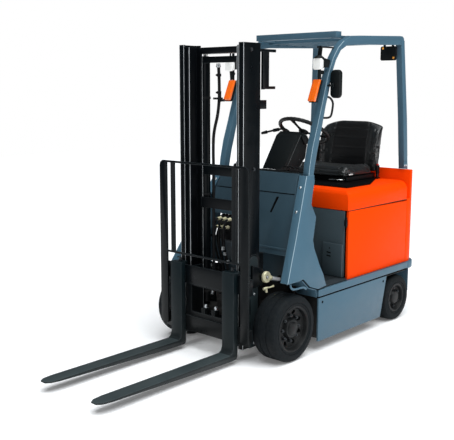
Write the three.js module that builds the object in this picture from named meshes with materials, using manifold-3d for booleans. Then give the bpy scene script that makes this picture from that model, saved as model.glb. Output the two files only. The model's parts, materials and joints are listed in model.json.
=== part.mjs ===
// Electric four-wheel counterbalanced forklift truck with a two-stage mast.
// Millimetres. +Z up, forks towards -Y, +X is the driver's left.
// Shapes are drawn with y = 0 on the front axle, then moved by SHIFT_Y so the
// origin lies under the middle of the whole truck.
import * as THREE from 'three';
import { mergeVertices } from 'three/addons/utils/BufferGeometryUtils.js';
import Module from 'manifold-3d';

const wasm = await Module();
wasm.setup();

// ---------------------------------------------------------------- dimensions
const SHIFT_Y = -108;
const BODY_HALF = 522;          // half width over the side panels
const REAR_Y = 1600;            // back of the counterweight
const WHEELBASE = 1262;
const FRONT_TYRE = { r: 218, w: 178, outer: 523, rim: 150 };
const REAR_TYRE = { r: 172, w: 127, outer: 522, rim: 104 };
const KINGPIN_X = 362;
const MAST = { out: 275, front: -219, rear: -61, bottom: 78, top: 2002 };
const MAST_PIVOT = [0, 218];    // y, z
const TILT_EYE = [-33, 530];    // y, z of the rod eye on the mast
const TILT_FOOT = [240, 448];   // y, z of the barrel foot on the frame
const TILT_X = 310;
const FORK = { x: 231, w: 100, tip: -1384, face: -314, back: -274, top: 72, bottom: 32 };
const GUARD_TOP_X = 398;        // outer face of the upright tubes
const LEAN_Z = 528;             // above this the side plates and the cowl lean inwards
const LEAN = 0.19370;
const GUARD_BASE_X = 521;
const REAR_POST_X = 445;        // outer face of the rear pillar at its foot
const WHEEL_C = [8, 755, 1425]; // centre of the steering wheel
const COLUMN_D = 421.5;         // from the wheel's centre down to the column's tilt pivot
const LIFT_CYL = { x: 210, y: -43, r: 30, rod: 14, bottom: 286, top: 1930 };
const BACKREST = { front: -301, back: -289 };

// ------------------------------------------------------------------- helpers
function solid(geometry) {
  const g = geometry.clone();
  g.deleteAttribute('normal');
  g.deleteAttribute('uv');
  const m = mergeVertices(g, 1e-3);
  return new wasm.Manifold(new wasm.Mesh({
    numProp: 3,
    vertProperties: new Float32Array(m.attributes.position.array),
    triVerts: new Uint32Array(m.index.array),
  }));
}
function box(x0, x1, y0, y1, z0, z1) {
  const g = new THREE.BoxGeometry(x1 - x0, y1 - y0, z1 - z0);
  g.translate((x0 + x1) / 2, (y0 + y1) / 2, (z0 + z1) / 2);
  return solid(g);
}
function extrude(points, depth) {
  const shape = new THREE.Shape(points.map(p => new THREE.Vector2(p[0], p[1])));
  return new THREE.ExtrudeGeometry(shape, { depth, bevelEnabled: false, steps: 1 });
}
// outline in (y, z), running along x
function prismX(points, x0, x1) {
  const g = extrude(points, x1 - x0);
  g.applyMatrix4(new THREE.Matrix4().set(0, 0, 1, x0, 1, 0, 0, 0, 0, 1, 0, 0, 0, 0, 0, 1));
  return solid(g);
}
// outline in (x, z), running along y
function prismY(points, y0, y1) {
  const g = extrude(points, y1 - y0);
  g.applyMatrix4(new THREE.Matrix4().set(1, 0, 0, 0, 0, 0, -1, y1, 0, 1, 0, 0, 0, 0, 0, 1));
  return solid(g);
}
// outline in (x, y), running along z
function prismZ(points, z0, z1) {
  const g = extrude(points, z1 - z0);
  g.translate(0, 0, z0);
  return solid(g);
}
function cyl(axis, at, r, a, b, seg = 32) {
  const g = new THREE.CylinderGeometry(r, r, b - a, seg);
  g.translate(0, (a + b) / 2, 0);
  if (axis === 'x') { g.rotateZ(-Math.PI / 2); g.translate(0, at[0], at[1]); }
  if (axis === 'y') { g.translate(at[0], 0, at[1]); }
  if (axis === 'z') { g.rotateX(Math.PI / 2); g.translate(at[0], at[1], 0); }
  return solid(g);
}
// profile of [radius, x], turned about an x-parallel axis through (y, z)
function turnX(profile, y, z, seg = 48) {
  const g = new THREE.LatheGeometry(profile.map(p => new THREE.Vector2(p[0], p[1])), seg);
  g.rotateZ(-Math.PI / 2);
  g.translate(0, y, z);
  const m = solid(g);
  return m;
}
function rod(p, q, r, seg = 20) {
  const a = new THREE.Vector3(...p), b = new THREE.Vector3(...q);
  const g = new THREE.CylinderGeometry(r, r, a.distanceTo(b), seg);
  g.applyQuaternion(new THREE.Quaternion().setFromUnitVectors(
    new THREE.Vector3(0, 1, 0), b.clone().sub(a).normalize()));
  const c = a.clone().add(b).multiplyScalar(0.5);
  g.translate(c.x, c.y, c.z);
  return solid(g);
}
function sweep(points, r, steps = 40, seg = 12, closed = false) {
  const curve = new THREE.CatmullRomCurve3(points.map(p => new THREE.Vector3(...p)), closed, 'centripetal');
  const shape = new THREE.Shape();
  shape.absarc(0, 0, r, 0, Math.PI * 2, false);
  const g = new THREE.ExtrudeGeometry(shape, { steps, extrudePath: curve, curveSegments: seg });
  return solid(g);
}
function union(...parts) { return parts.flat().reduce((a, b) => a.add(b)); }
function mirrorX(m) { return m.mirror([1, 0, 0]); }
// leans a geometry inwards with height, for the rear pillars
function lean(points, x0, x1, z0, slope) {
  const g = extrude(points, x1 - x0);
  g.applyMatrix4(new THREE.Matrix4().set(0, 0, 1, x0, 1, 0, 0, 0, 0, 1, 0, 0, 0, 0, 0, 1));
  const p = g.attributes.position;
  for (let i = 0; i < p.count; i++) p.setX(i, p.getX(i) - Math.max(0, p.getZ(i) - z0) * slope);
  return solid(g);
}
// folds a solid on the +X side inwards above LEAN_Z
function leanIn(m) {
  const low = m.intersect(box(-900, 900, -400, 900, 0, LEAN_Z));
  const high = m.intersect(box(-900, 900, -400, 900, LEAN_Z, 2500))
    .transform([1, 0, 0, 0, 0, 1, 0, 0, -LEAN, 0, 1, 0, LEAN * LEAN_Z, 0, 0, 1]);
  return low.add(high);
}

const COLOURS = {
  body_grey: [0x5f7889, 0.45, 0.2],
  body_orange: [0xf1501a, 0.4, 0.1],
  mast_black: [0x1b2224, 0.5, 0.4],
  fork_steel: [0x3c4246, 0.5, 0.6],
  wheel_black: [0x1e2123, 0.6, 0.3],
  tyre_rubber: [0x191a1b, 0.85, 0.0],
  vinyl_black: [0x17191a, 0.6, 0.0],
  plastic_black: [0x181a1b, 0.6, 0.0],
  bright_steel: [0xb9bdbf, 0.25, 0.9],
  lamp_clear: [0xe8e8e4, 0.2, 0.0],
  lamp_orange: [0xf06a12, 0.3, 0.0],
  iron_dark: [0x2c2f31, 0.7, 0.5],
};
const truck = new THREE.Group();
function add(name, m, slot) {
  const mesh = m.getMesh();
  const g = new THREE.BufferGeometry();
  g.setAttribute('position', new THREE.BufferAttribute(new Float32Array(mesh.vertProperties), 3));
  g.setIndex(new THREE.BufferAttribute(new Uint32Array(mesh.triVerts), 1));
  g.translate(0, SHIFT_Y, 0);
  const [color, roughness, metalness] = COLOURS[slot];
  const node = new THREE.Mesh(g, new THREE.MeshStandardMaterial({ color, roughness, metalness }));
  node.name = name;
  truck.add(node);
}
function pair(name, m, slot) {
  add(name + '_left', m, slot);
  add(name + '_right', mirrorX(m), slot);
}

// ------------------------------------------------------------- chassis frame
{
  const deck = box(-505, 505, 262, 1400, 356, 370);
  const front = union(box(-505, 505, 262, 276, 92, 370), box(-438, 438, 262, 276, 365, 432));
  const rear = box(-505, 505, 998, 1012, 92, 370);
  const web = box(480, 505, 262, 1012, 92, 370);
  const spine = box(-150, 150, 1000, 1400, 252, 370);
  const beam = box(286, 326, -50, 276, 300.4, 370);
  const foot = union(
    prismX([[224, 368], [262, 368], [262, 466], [230, 466], [224, 440]], 284, 296),
    prismX([[224, 368], [262, 368], [262, 466], [230, 466], [224, 440]], 324, 336));
  const pin = cyl('x', TILT_FOOT, 10, 290, 330, 20);
  const side = union(web, beam, foot, pin);
  add('frame', union(deck, front, rear, spine, side, mirrorX(side)), 'iron_dark');
}
pair('side_panel', prismX([[256, 72], [1032, 72], [1108, 367], [256, 367]], 508, BODY_HALF), 'body_grey');
pair('step', union(
  box(440, BODY_HALF, 264, 1404, 378, 420.7),
  prismX([[256, 378], [1404, 378], [1404, 421], [256, 421]], 507, BODY_HALF)), 'body_grey');
add('floor_plate', box(-505, 505, 276.4, 608, 421, 433), 'body_grey');

// --------------------------------------------------------------- drive axle
{
  const [, z] = MAST_PIVOT;
  const tube = cyl('x', [0, z], 50, -338, 338, 40);
  const box0 = prismX([[-38, 160], [120, 130], [150, 160], [150, 300], [110, 335], [-20, 335], [-38, 300]], -115, 115);
  const pad = box(286, 326, -42, 42, z, 300);
  const spindle = cyl('x', [0, z], 30, 330, 448, 32);
  add('drive_axle', union(tube, box0, pad, mirrorX(pad), spindle, mirrorX(spindle)), 'iron_dark');
}
// -------------------------------------------------------------- front wheels
function tyre(t, y, z) {
  const i = t.outer - t.w, o = t.outer, r = t.r;
  return turnX([[t.rim + 0.3, i + 4], [t.rim + 22, i], [r - 12, i], [r - 3, i + 6], [r, i + 22],
    [r, o - 22], [r - 3, o - 6], [r - 12, o], [t.rim + 22, o], [t.rim + 0.3, o - 4], [t.rim + 0.3, i + 4]], y, z, 40);
}
pair('tyre_front', tyre(FRONT_TYRE, 0, FRONT_TYRE.r), 'tyre_rubber');
{
  const y = 0, z = FRONT_TYRE.r, R = FRONT_TYRE.rim;
  let rim = turnX([[R - 14, 352], [R, 352], [R, 516], [R - 8, 519], [R - 14, 514], [R - 20, 486],
    [96, 474], [70, 476], [62, 490], [58, 502], [0, 504], [0, 453], [30.6, 453], [30.6, 372], [62, 372],
    [66, 456], [96, 458], [R - 14, 466], [R - 14, 352]], y, z, 40);
  for (let i = 0; i < 8; i++) {
    const a = (i + 0.5) / 8 * Math.PI * 2;
    rim = rim.subtract(cyl('x', [y + 106 * Math.cos(a), z + 106 * Math.sin(a)], 15, 440, 500, 16));
  }
  pair('wheel_front', rim, 'wheel_black');
}
// ---------------------------------------------------------------- rear wheels
pair('tyre_rear', tyre(REAR_TYRE, WHEELBASE, REAR_TYRE.r), 'tyre_rubber');
{
  const y = WHEELBASE, z = REAR_TYRE.r, R = REAR_TYRE.rim;
  pair('wheel_rear', turnX([[R - 12, 402], [R, 402], [R, 516], [R - 8, 518], [R - 14, 512], [R - 18, 492],
    [60, 484], [50, 500], [44, 510], [0, 512], [0, 478], [20.6, 478], [20.6, 404], [44, 404],
    [48, 468], [60, 470], [R - 12, 476], [R - 12, 402]], y, z, 40), 'wheel_black');
  // knuckle: kingpin barrel with the wheel spindle
  pair('steering_knuckle', union(
    cyl('z', [KINGPIN_X, y], 26, 119, 225, 28),
    cyl('x', [y, z], 20, KINGPIN_X, 474, 28),
    cyl('x', [y, z], 32, KINGPIN_X + 10, 398, 28)), 'iron_dark');
  // axle beam with a yoke over and under each kingpin
  const yoke = [[300, y - 44], [334, y - 30], [KINGPIN_X, y - 26], [KINGPIN_X + 15, y - 21], [KINGPIN_X + 24, y - 10],
    [KINGPIN_X + 26, y], [KINGPIN_X + 24, y + 10], [KINGPIN_X + 15, y + 21], [KINGPIN_X, y + 26], [334, y + 30], [300, y + 44]];
  const end = union(prismZ(yoke, 225.6, 243), prismZ(yoke, 101, 118.4), box(290, 328, y - 34, y + 34, 101, 243));
  add('steer_axle', union(box(-300, 300, y - 44, y + 44, 128, 216), box(-100, 100, y - 50, y + 50, 200, 251.6),
    end, mirrorX(end)), 'iron_dark');
}

// ------------------------------------------------- battery and orange bodywork
add('battery', box(-430, 430, 650, 1330, 374, 880), 'plastic_black');
pair('battery_panel', prismX([[622, 421.4], [1404, 421.4], [1404, 892], [622, 900]], 478, 500), 'body_orange');
add('battery_bulkhead', box(-470, 470, 612, 622, 436, 900), 'body_grey');
{
  // counterweight: rounded in plan, with a wall that carries the rear pillars
  const r = 170;
  const plan = (half, front, back, radius) => {
    const p = [[-half, front], [half, front]];
    for (let i = 0; i <= 10; i++) {
      const a = i / 10 * Math.PI / 2;
      p.push([half - radius + radius * Math.cos(a), back - radius + radius * Math.sin(a)]);
    }
    for (let i = 0; i <= 10; i++) {
      const a = Math.PI / 2 + i / 10 * Math.PI / 2;
      p.push([-half + radius + radius * Math.cos(a), back - radius + radius * Math.sin(a)]);
    }
    return p;
  };
  const lower = prismZ(plan(496, 1404.6, REAR_Y - 14, r - 14), 168, 372).intersect(box(-600, 600, 1508, 1700, 160, 380));
  const mid = prismZ(plan(BODY_HALF, 1404.6, REAR_Y, r), 370, 420.7);
  const upper = prismZ(plan(500, 1404.6, REAR_Y - 4, r), 421, 1122);
  const hollow = box(-506, 506, 1300, 1446, 905, 1200);
  const slope = prismX([[1380, 1135], [1700, 1090], [1700, 1200], [1380, 1200]], -600, 600);
  const pocket = box(-70, 70, 1540, 1700, 470, 560);
  const pin = cyl('z', [0, 1570], 14, 465, 570, 20);
  add('counterweight', upper.subtract(hollow).subtract(slope).subtract(pocket).add(pin), 'body_orange');
  add('counterweight_base', union(lower, mid), 'body_grey');
}
{
  // hood: a shell lid with rounded edges
  const side = x => [[-x, 903], [x, 903], [x, 985], [x - 8, 1012], [x - 28, 1034], [x - 60, 1044],
    [-x + 60, 1044], [-x + 28, 1034], [-x + 8, 1012], [-x, 985]];
  const outer = prismY(side(500), 612, 1400);
  const long = prismX([[612, 903], [1400, 903], [1400, 1044], [660, 1044], [630, 1036], [616, 1015], [612, 985]], -505, 505);
  const inner = box(-478, 478, 626, 1388, 880, 1020);
  add('hood', outer.intersect(long).subtract(inner), 'body_orange');
}

// ------------------------------------------------------------ front bodywork
{
  // cowl: a hollow shell between the guard plates, cut away on the right for the valve
  const outline = [[65, 662], [250, 1138], [275, 1172], [330, 1172], [330, 1157], [282, 1157], [263, 1130], [81, 677], [262, 677],
    [262, 662]];
  const taper = prismY([[-430, 640], [430, 640], [325.5, 1180], [-325.5, 1180]], 30, 345);
  const mid = prismX(outline, -452, 452).intersect(taper);
  const cheek = leanIn(prismX([[65, 662], [250, 1138], [275, 1172], [330, 1172], [330, 1110], [262, 662]], 440, 451.5));
  const bay = box(-300, -85, 40, 166, 600, 866);
  add('cowl', union(mid, cheek, mirrorX(cheek)).subtract(bay), 'body_grey');
}
{
  // steering column with its wedge-shaped cover, one piece that tilts about its foot
  const [cx, cy, cz] = WHEEL_C;
  const along = d => [cx, cy - d * 0.5, cz - d * 0.8660254];
  const wedge = prismX([[414, 1171], [568, 1398], [614, 1424], [650, 1392], [687, 1328], [666, 1237], [574, 1158]], -96, 88);
  const core = prismX([[436, 1100], [580, 1382], [614, 1404], [636, 1380], [670, 1324], [650, 1244], [560, 1100]], -84, 76);
  const column = rod(along(30), along(COLUMN_D), 26, 24);
  const web = box(-90, 82, 600, 610, 1180, 1290);
  const [py, pz] = along(COLUMN_D).slice(1);
  const foot = cyl('x', [py, pz], 34, cx - 60, cx + 60, 24);
  add('steering_column', union(wedge.subtract(core), web, column, foot), 'plastic_black');
  // forked stand that carries the column's foot
  const cheek = x => prismX([[py - 60, pz - 62], [py + 24, pz - 62], [py + 34, pz - 20], [py + 34, pz + 10], [py + 16, pz + 32], [py - 16, pz + 32], [py - 60, pz - 30]], x, x + 9);
  add('column_stand', union(cheek(cx + 61), cheek(cx - 70), box(cx - 66, cx + 66, py - 60, py + 22, pz - 62, pz - 42),
    prismX([[py - 58, pz - 44], [py - 4, pz - 60], [274, 700], [262, 677.3], [214, 677.3], [214, 700]], cx - 22, cx + 22),
    box(cx - 50, cx + 50, 190, 262, 677.3, 689)), 'iron_dark');
}
{
  const c = WHEEL_C, R = 180, t = 30 * Math.PI / 180;
  const pts = [];
  for (let i = 0; i < 48; i++) {
    const a = i / 48 * Math.PI * 2;
    pts.push([c[0] + R * Math.cos(a), c[1] - R * Math.sin(a) * Math.cos(t), c[2] + R * Math.sin(a) * Math.sin(t)]);
  }
  const ring = sweep(pts, 14, 48, 5, true);
  const n = [0, -Math.sin(t), -Math.cos(t)];
  const at = (x, v, w) => [c[0] + x, c[1] - v * Math.cos(t) + w * n[1], c[2] + v * Math.sin(t) + w * n[2]];
  const hub = rod(at(0, 0, 28), at(0, 0, -8), 38, 28);
  const spokes = [0, 1, 2].map(i => {
    const a = Math.PI / 2 + i * Math.PI * 2 / 3;
    return rod(at(30 * Math.cos(a), 30 * Math.sin(a), 8), at(R * Math.cos(a), R * Math.sin(a), 0), 9, 12);
  });
  add('steering_wheel', union(ring, hub, spokes), 'plastic_black');
}
// pedals hang from a shaft under the cowl
{
  const shaft = cyl('x', [236, 632], 9, -210, 70, 16);
  const ears = union(box(-206, -196, 222, 250, 622, 661.7), box(40, 50, 222, 250, 622, 661.7));
  const arm = (x0, x1, y1, z1) => prismX([[228, 636], [240, 626], [y1 + 8, z1], [y1 - 4, z1]], x0, x1);
  const pad = (x0, x1, y, z, h) => prismX([[y - 6, z], [y + 6, z - 4], [y + 26, z + h - 4], [y + 14, z + h]], x0, x1);
  add('pedals', union(shaft, ears, arm(-160, -150, 300, 500), pad(-190, -120, 292, 470, 110), arm(-20, -10, 300, 530), pad(-62, 30, 292, 520, 64)), 'plastic_black');
}
// hydraulic levers on the right of the cowl's top
{
  const base = prismX([[277, 1172.3], [328, 1172.3], [322, 1196], [284, 1204]], -252, -118);
  const lever = x => union(rod([x, 296, 1190], [x, 322, 1290], 6, 12), rod([x, 319, 1278], [x, 328, 1313], 13, 16));
  add('lever_set', union(base, lever(-228), lever(-185), lever(-142)), 'plastic_black');
}

// -------------------------------------------------------------- seat
add('seat_pan', union(
  prismZ([[-425, 706], [425, 706], [425, 1000], [330, 1200], [268, 1330], [268, 1392], [-268, 1392], [-268, 1330], [-330, 1200], [-425, 1000]], 1044.4, 1052),
  box(-235, 235, 930, 1370, 1050, 1088)), 'plastic_black');
add('seat_cushion', prismX([[925, 1088.5], [1318, 1088.5], [1322, 1150], [1180, 1160], [960, 1170], [920, 1150]], -262, 262), 'vinyl_black');
{
  const middle = prismX([[1350, 1100], [1392, 1100], [1458, 1400], [1462, 1470], [1440, 1492], [1395, 1490], [1370, 1440]], -262, 262);
  const bolster = prismX([[1328, 1140], [1392, 1100], [1452, 1380], [1440, 1430], [1362, 1430], [1336, 1300]], 188, 270);
  add('seat_back', union(middle, bolster, mirrorX(bolster)), 'vinyl_black');
}

// ----------------------------------------------------------- overhead guard
{
  const plate = leanIn(prismX([[-77, 523], [88, 528], [165, 461], [250, 432], [337, 441], [275, 586], [242, 701], [242, 753],
    [309, 894], [278, 978], [302, 1038], [345, 1120], [352, 1163], [269, 1163], [63, 775]], GUARD_BASE_X - 10, GUARD_BASE_X));
  const flange = leanIn(prismX([[-77, 523], [-67, 523], [73, 775], [279, 1163], [269, 1163], [63, 775]], 462, GUARD_BASE_X - 5));
  const front = [[290, 1140], [302, 1231], [317, 1295], [334, 1360], [357, 1424], [380, 1489], [402, 1554], [424, 1619], [455, 1716],
    [486, 1814], [515, 1870], [545, 1930], [597, 1993], [663, 2041], [755, 2078], [860, 2084], [1120, 2094], [1400, 2106],
    [1430, 2104], [1450, 2090], [1456, 2060], [1450, 2044], [1333, 2040], [1111, 2033], [807, 2022],
    [698, 2011], [628, 1978], [573, 1912], [528, 1820], [500, 1710], [468, 1619], [450, 1554], [432, 1489], [412, 1424], [393, 1359],
    [373, 1295], [358, 1230], [344, 1165], [338, 1140]];
  const tube = prismX(front, GUARD_TOP_X - 47.7, GUARD_TOP_X);
  const rear = lean([[1410, 2075], [1455, 2075], [1456, 2046], [1486, 1500], [1492, 1121], [1440, 1126.9], [1434, 1500], [1410, 2046]],
    REAR_POST_X - 48, REAR_POST_X, 1121, 0.0467);
  pair('guard_side', union(plate, flange, tube, rear), 'body_grey');
  // fender: a bent sheet over the front tyre, on the inner face of the plate
  pair('fender', prismX([[-77, 522.6], [80, 522.6], [160, 456], [245, 427], [250, 374], [244, 374], [239, 422], [156, 450], [78, 516.6], [-77, 516.6]],
    345, GUARD_BASE_X - 10.3), 'body_grey');
}
{
  const bars = [];
  bars.push(box(-350, 350, 640, 700, 2064, 2106));
  for (let i = 0; i < 6; i++) bars.push(box(-350, 350, 790 + i * 100, 812 + i * 100, 2046, 2082));
  bars.push(box(-350, 350, 1390, 1440, 2060, 2100));
  bars.push(box(300, 340, 650, 1420, 2060, 2080), box(-340, -300, 650, 1420, 2060, 2080));
  add('roof_bars', union(bars), 'body_grey');
}
// lamps and fittings on the guard
{
  const strap = union(box(370, 384, 417, 427, 1760, 2000), box(352, 384, 417, 427, 1985, 2000), box(370, 384, 405, 427, 1755, 1775));
  const arm = prismX([[417, 1988], [417, 2000], [604, 2000], [588, 1988]], 352, 364);
  const brace = prismX([[425, 1922], [425, 1932], [537, 1915], [531, 1903]], 358, 374);
  const head = box(350, 420, 375, 419, 1846, 1922);
  const signal = prismX([[333, 1640], [375, 1636], [433, 1780], [391, 1786]], 334, 391);
  pair('lamp_cluster', union(strap, arm, brace, head, signal), 'lamp_orange');
}
add('mirror', union(
  prismY([[402, 1675], [414, 1663], [468, 1663], [480, 1675], [480, 1836], [468, 1848], [414, 1848], [402, 1836]], 500, 532),
  box(398.4, 432, 478, 506, 1738, 1752)), 'plastic_black');
add('grab_handle', sweep([[374, 491, 1671], [373, 525, 1670], [372, 559, 1659], [374, 582, 1630], [378, 572, 1587], [382, 552, 1548], [384, 519, 1534], [384, 452, 1534]], 7, 24, 10), 'body_grey');
add('rear_lamp', union(box(240, 372, 1382, 1408, 1930, 2036), box(258, 276, 1393, 1403, 2030, 2059.7), box(328, 346, 1393, 1403, 2030, 2059.7)), 'lamp_orange');

// -------------------------------------------------------------------- mast
{
  const rail = union(
    box(263, 275, MAST.front, MAST.rear, MAST.bottom, MAST.top),
    box(235, 275, MAST.front, MAST.front + 14, MAST.bottom, MAST.top),
    box(235, 275, MAST.rear - 14, MAST.rear, MAST.bottom, MAST.top));
  const saddle = prismX([[-66, 150], [20, 150], [40, 180], [40, 256], [20, 286], [-66, 286]], 205, 268)
    .subtract(cyl('x', MAST_PIVOT, 51, 180, 300, 40));
  const ear = prismX([[-150, 470], [-61, 480], [-30, 505], [-10, 520], [-12, 545], [-33, 556], [-61, 590], [-150, 620]], 270, 298);
  const pin = cyl('x', TILT_EYE, 10, 290, 324, 20);
  const c = LIFT_CYL, at = [c.x, c.y];
  const barrel = cyl('z', at, c.r, c.bottom - 4, c.top, 28).subtract(cyl('z', at, c.rod + 1, c.bottom + 30, c.top + 20, 20));
  const clamps = union(box(222, 262, -64, -56, 330, 380), box(222, 262, -64, -56, 1000, 1050), box(222, 262, -64, -56, 1640, 1690));
  const side = union(rail, saddle, ear, pin, barrel, clamps);
  const cross = union(box(-240, 240, -74, -62, 1890, 1930), box(-240, 240, -74, -61.5, 1160, 1220), box(-240, 240, -75, -61.5, 90, 140));
  // guide and stop brackets at the top of the left rail
  const fittings = union(
    box(252, 268, -66, 100, 1950, 1968), box(252, 268, -27, 32, 1735, 1955), box(252, 268, -20, 95, 1722, 1740),
    box(252, 268, -27, -10, 1720, 1760), box(252, 275, -66, 0, 1600, 1655));
  const plate = prismX([[-162, 90], [-78, 90], [-78, 650], [-96, 684], [-144, 684], [-162, 650]], 273, 279);
  add('outer_mast', union(side, mirrorX(side), cross, fittings, plate), 'mast_black');
}
{
  const rail = union(
    box(245, 255, -200, -80, 98, 1988),
    box(205, 255, -200, -186, 98, 1988),
    box(205, 255, -94, -80, 98, 1988));
  const lift = cyl('z', [LIFT_CYL.x, LIFT_CYL.y], LIFT_CYL.rod, LIFT_CYL.bottom + 45, 1960, 20);
  const side = union(rail, lift);
  const head = box(-228, 228, -94, -14, 1948, 1988);
  const cross = union(box(-250, 250, -92, -80, 940, 1010), box(-250, 250, -92, -80, 160, 220));
  add('inner_mast', union(side, mirrorX(side), head, cross), 'mast_black');
}
// hose from the top clamp down to the right lift cylinder, held by clips on the outer mast
add('mast_hose', sweep([[-98, -40, 1886], [-98, -34, 1800], [-98, -32, 1671], [-112, -32, 1560], [-140, -30, 1470], [-158, -24, 1400], [-166, -18, 1300], [-168, -14, 1200],
  [-168, -14, 700], [-168, -16, 420], [-170, -30, 330]], 10, 40, 8), 'tyre_rubber');
// ----------------------------------------------------------------- carriage
{
  const plate = prismX([[-250, 152], [-200, 152], [-110, 110], [-100, 120], [-100, 540], [-110, 555], [-200, 555], [-250, 555]], 186, 200);
  const rollers = union(cyl('x', [-140, 160], 38, 196, 240, 32), cyl('x', [-140, 500], 38, 196, 240, 32));
  const side = union(plate, rollers);
  const bars = union(
    box(-372, 372, -272, -240, 456, 560), box(-372, 372, -272, -258, 555, 578),
    box(-372, 372, -272, -240, 150, 235), box(-372, 372, -272, -258, 132, 155));
  const anchors = union(box(-60, -30, -250, -205, 236, 300), box(30, 60, -250, -205, 236, 300), box(-60, 60, -252, -240, 230, 262));
  add('carriage', union(side, mirrorX(side), bars, box(-190, 190, -252, -240, 235, 470)
    .subtract(box(-150, 150, -260, -230, 262, 440)), anchors), 'mast_black');
}
{
  const { front, back } = BACKREST;
  const up = prismY([[325, 160], [390, 160], [390, 1226], [384, 1248], [364, 1262], [325, 1262]], front, back);
  const feet = union(box(332, 371, back - 2, -272.4, 474, 552), box(332, 371, back - 2, -272.4, 158, 228));
  const inner = box(252, 287, front, back, 650, 1240);
  const side = union(up, feet, inner);
  add('load_backrest', union(side, mirrorX(side), box(-330, 330, front, back, 1228, 1262), box(-330, 330, front, back, 650, 662)), 'mast_black');
}
{
  const { x, w, tip, face, back, top, bottom } = FORK;
  const l = x - w / 2, r = x + w / 2;
  const blade = prismX([[tip, top - 10], [tip, top], [back - 8, top], [back, top + 6], [back, 597], [face, 597], [face, top],
    [face, 140]].slice(0, 0).concat([[tip, top - 10], [face - 120, bottom], [back - 20, bottom], [back - 6, bottom + 5],
    [back, bottom + 20], [back, 597], [face, 597], [face, top + 40], [face - 10, top + 12], [face - 30, top], [tip, top]]), l, r);
  const nose = prismZ([[l + 30, tip - 1], [r - 30, tip - 1], [r - 8, tip + 30], [r, tip + 90], [r, 0], [l, 0], [l, tip + 90], [l + 8, tip + 30]], 0, 700);
  const hooks = union(box(l + 10, r - 10, -290, -242, 581, 597), box(l + 10, r - 10, -254.5, -242, 563, 597),
    box(l + 10, r - 10, -290, -242, 113, 129), box(l + 10, r - 10, -254.5, -242, 113, 147));
  pair('fork', union(blade.intersect(nose), hooks), 'fork_steel');
}

// ---------------------------------------------------------- tilt cylinders
{
  const [ey, ez] = TILT_EYE, [fy, fz] = TILT_FOOT, X = TILT_X;
  const L = Math.hypot(fy - ey, fz - ez), u = [(ey - fy) / L, (ez - fz) / L];
  const at = d => [X, fy + u[0] * d, fz + u[1] * d];
  const eye = cyl('x', TILT_FOOT, 22, X - 12, X + 12, 24).subtract(cyl('x', TILT_FOOT, 10.6, X - 20, X + 20, 24));
  const barrel = union(rod(at(14), at(60), 11, 20), rod(at(44), at(L - 88), 26, 28)).subtract(rod(at(60), at(L), 12.6, 24));
  pair('tilt_barrel', union(barrel, eye), 'plastic_black');
  const end = cyl('x', TILT_EYE, 25, X - 9, X + 11, 28).subtract(cyl('x', TILT_EYE, 12.5, X - 20, X + 20, 28));
  pair('tilt_rod', union(rod(at(96), at(L - 18), 12, 24), end), 'bright_steel');
}
export default truck;
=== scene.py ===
# Electric counterbalanced forklift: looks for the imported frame.
import bpy, bmesh, math, json
from mathutils import Vector, Matrix


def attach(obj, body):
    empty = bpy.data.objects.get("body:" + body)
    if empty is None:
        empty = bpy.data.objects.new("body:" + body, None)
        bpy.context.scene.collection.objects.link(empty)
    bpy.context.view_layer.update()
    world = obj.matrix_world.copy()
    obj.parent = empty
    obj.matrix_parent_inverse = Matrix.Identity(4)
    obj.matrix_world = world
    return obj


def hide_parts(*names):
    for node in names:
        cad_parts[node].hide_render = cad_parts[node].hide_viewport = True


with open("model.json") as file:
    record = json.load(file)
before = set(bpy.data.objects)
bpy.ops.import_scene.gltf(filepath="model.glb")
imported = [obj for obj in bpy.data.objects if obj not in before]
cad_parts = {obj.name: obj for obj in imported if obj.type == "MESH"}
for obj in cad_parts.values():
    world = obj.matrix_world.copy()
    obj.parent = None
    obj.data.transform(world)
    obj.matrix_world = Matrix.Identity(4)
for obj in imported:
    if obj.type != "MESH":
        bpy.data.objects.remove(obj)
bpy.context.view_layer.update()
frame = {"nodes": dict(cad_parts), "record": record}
NODES = frame["nodes"]
BODY_OF = {n: b for b, ns in frame["record"]["behaviour"]["bodies"].items() for n in ns}


def P(x, y, z):
    """Truck coordinates in millimetres, y = 0 on the front axle, to the row frame."""
    return Vector((x / 1000.0, (y - 108.0) / 1000.0, z / 1000.0))


# ------------------------------------------------------------------ camera
cam_data = bpy.data.cameras.new("camera")
cam_data.lens = 62.336
cam_data.sensor_width = 36.0
cam_data.sensor_fit = "HORIZONTAL"
cam_data.clip_end = 100
cam = bpy.data.objects.new("camera", cam_data)
bpy.context.scene.collection.objects.link(cam)
az, el = math.radians(42.182), math.radians(9.558)
F = Vector((-math.sin(az) * math.cos(el), math.cos(az) * math.cos(el), -math.sin(el)))
R = Vector((math.cos(az), math.sin(az), 0))
U = R.cross(F)
cam.matrix_world = Matrix((
    (R.x, U.x, -F.x, 3.432855),
    (R.y, U.y, -F.y, -3.961136),
    (R.z, U.z, -F.z, 1.731508),
    (0, 0, 0, 1)))
bpy.context.scene.camera = cam


# --------------------------------------------------------------- materials
def mat_new(name):
    m = bpy.data.materials.new(name)
    m.use_nodes = True
    nt = m.node_tree
    return m, nt, nt.nodes["Principled BSDF"]


def N(nt, kind, **kw):
    n = nt.nodes.new(kind)
    for k, v in kw.items():
        if k in n.inputs:
            n.inputs[k].default_value = v
        else:
            setattr(n, k, v)
    return n


def coords(nt, scale=1.0):
    tc = nt.nodes.new("ShaderNodeTexCoord")
    mp = nt.nodes.new("ShaderNodeMapping")
    mp.inputs["Scale"].default_value = (scale, scale, scale) if not hasattr(scale, "__len__") else scale
    nt.links.new(tc.outputs["Object"], mp.inputs["Vector"])
    return mp.outputs["Vector"]


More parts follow.
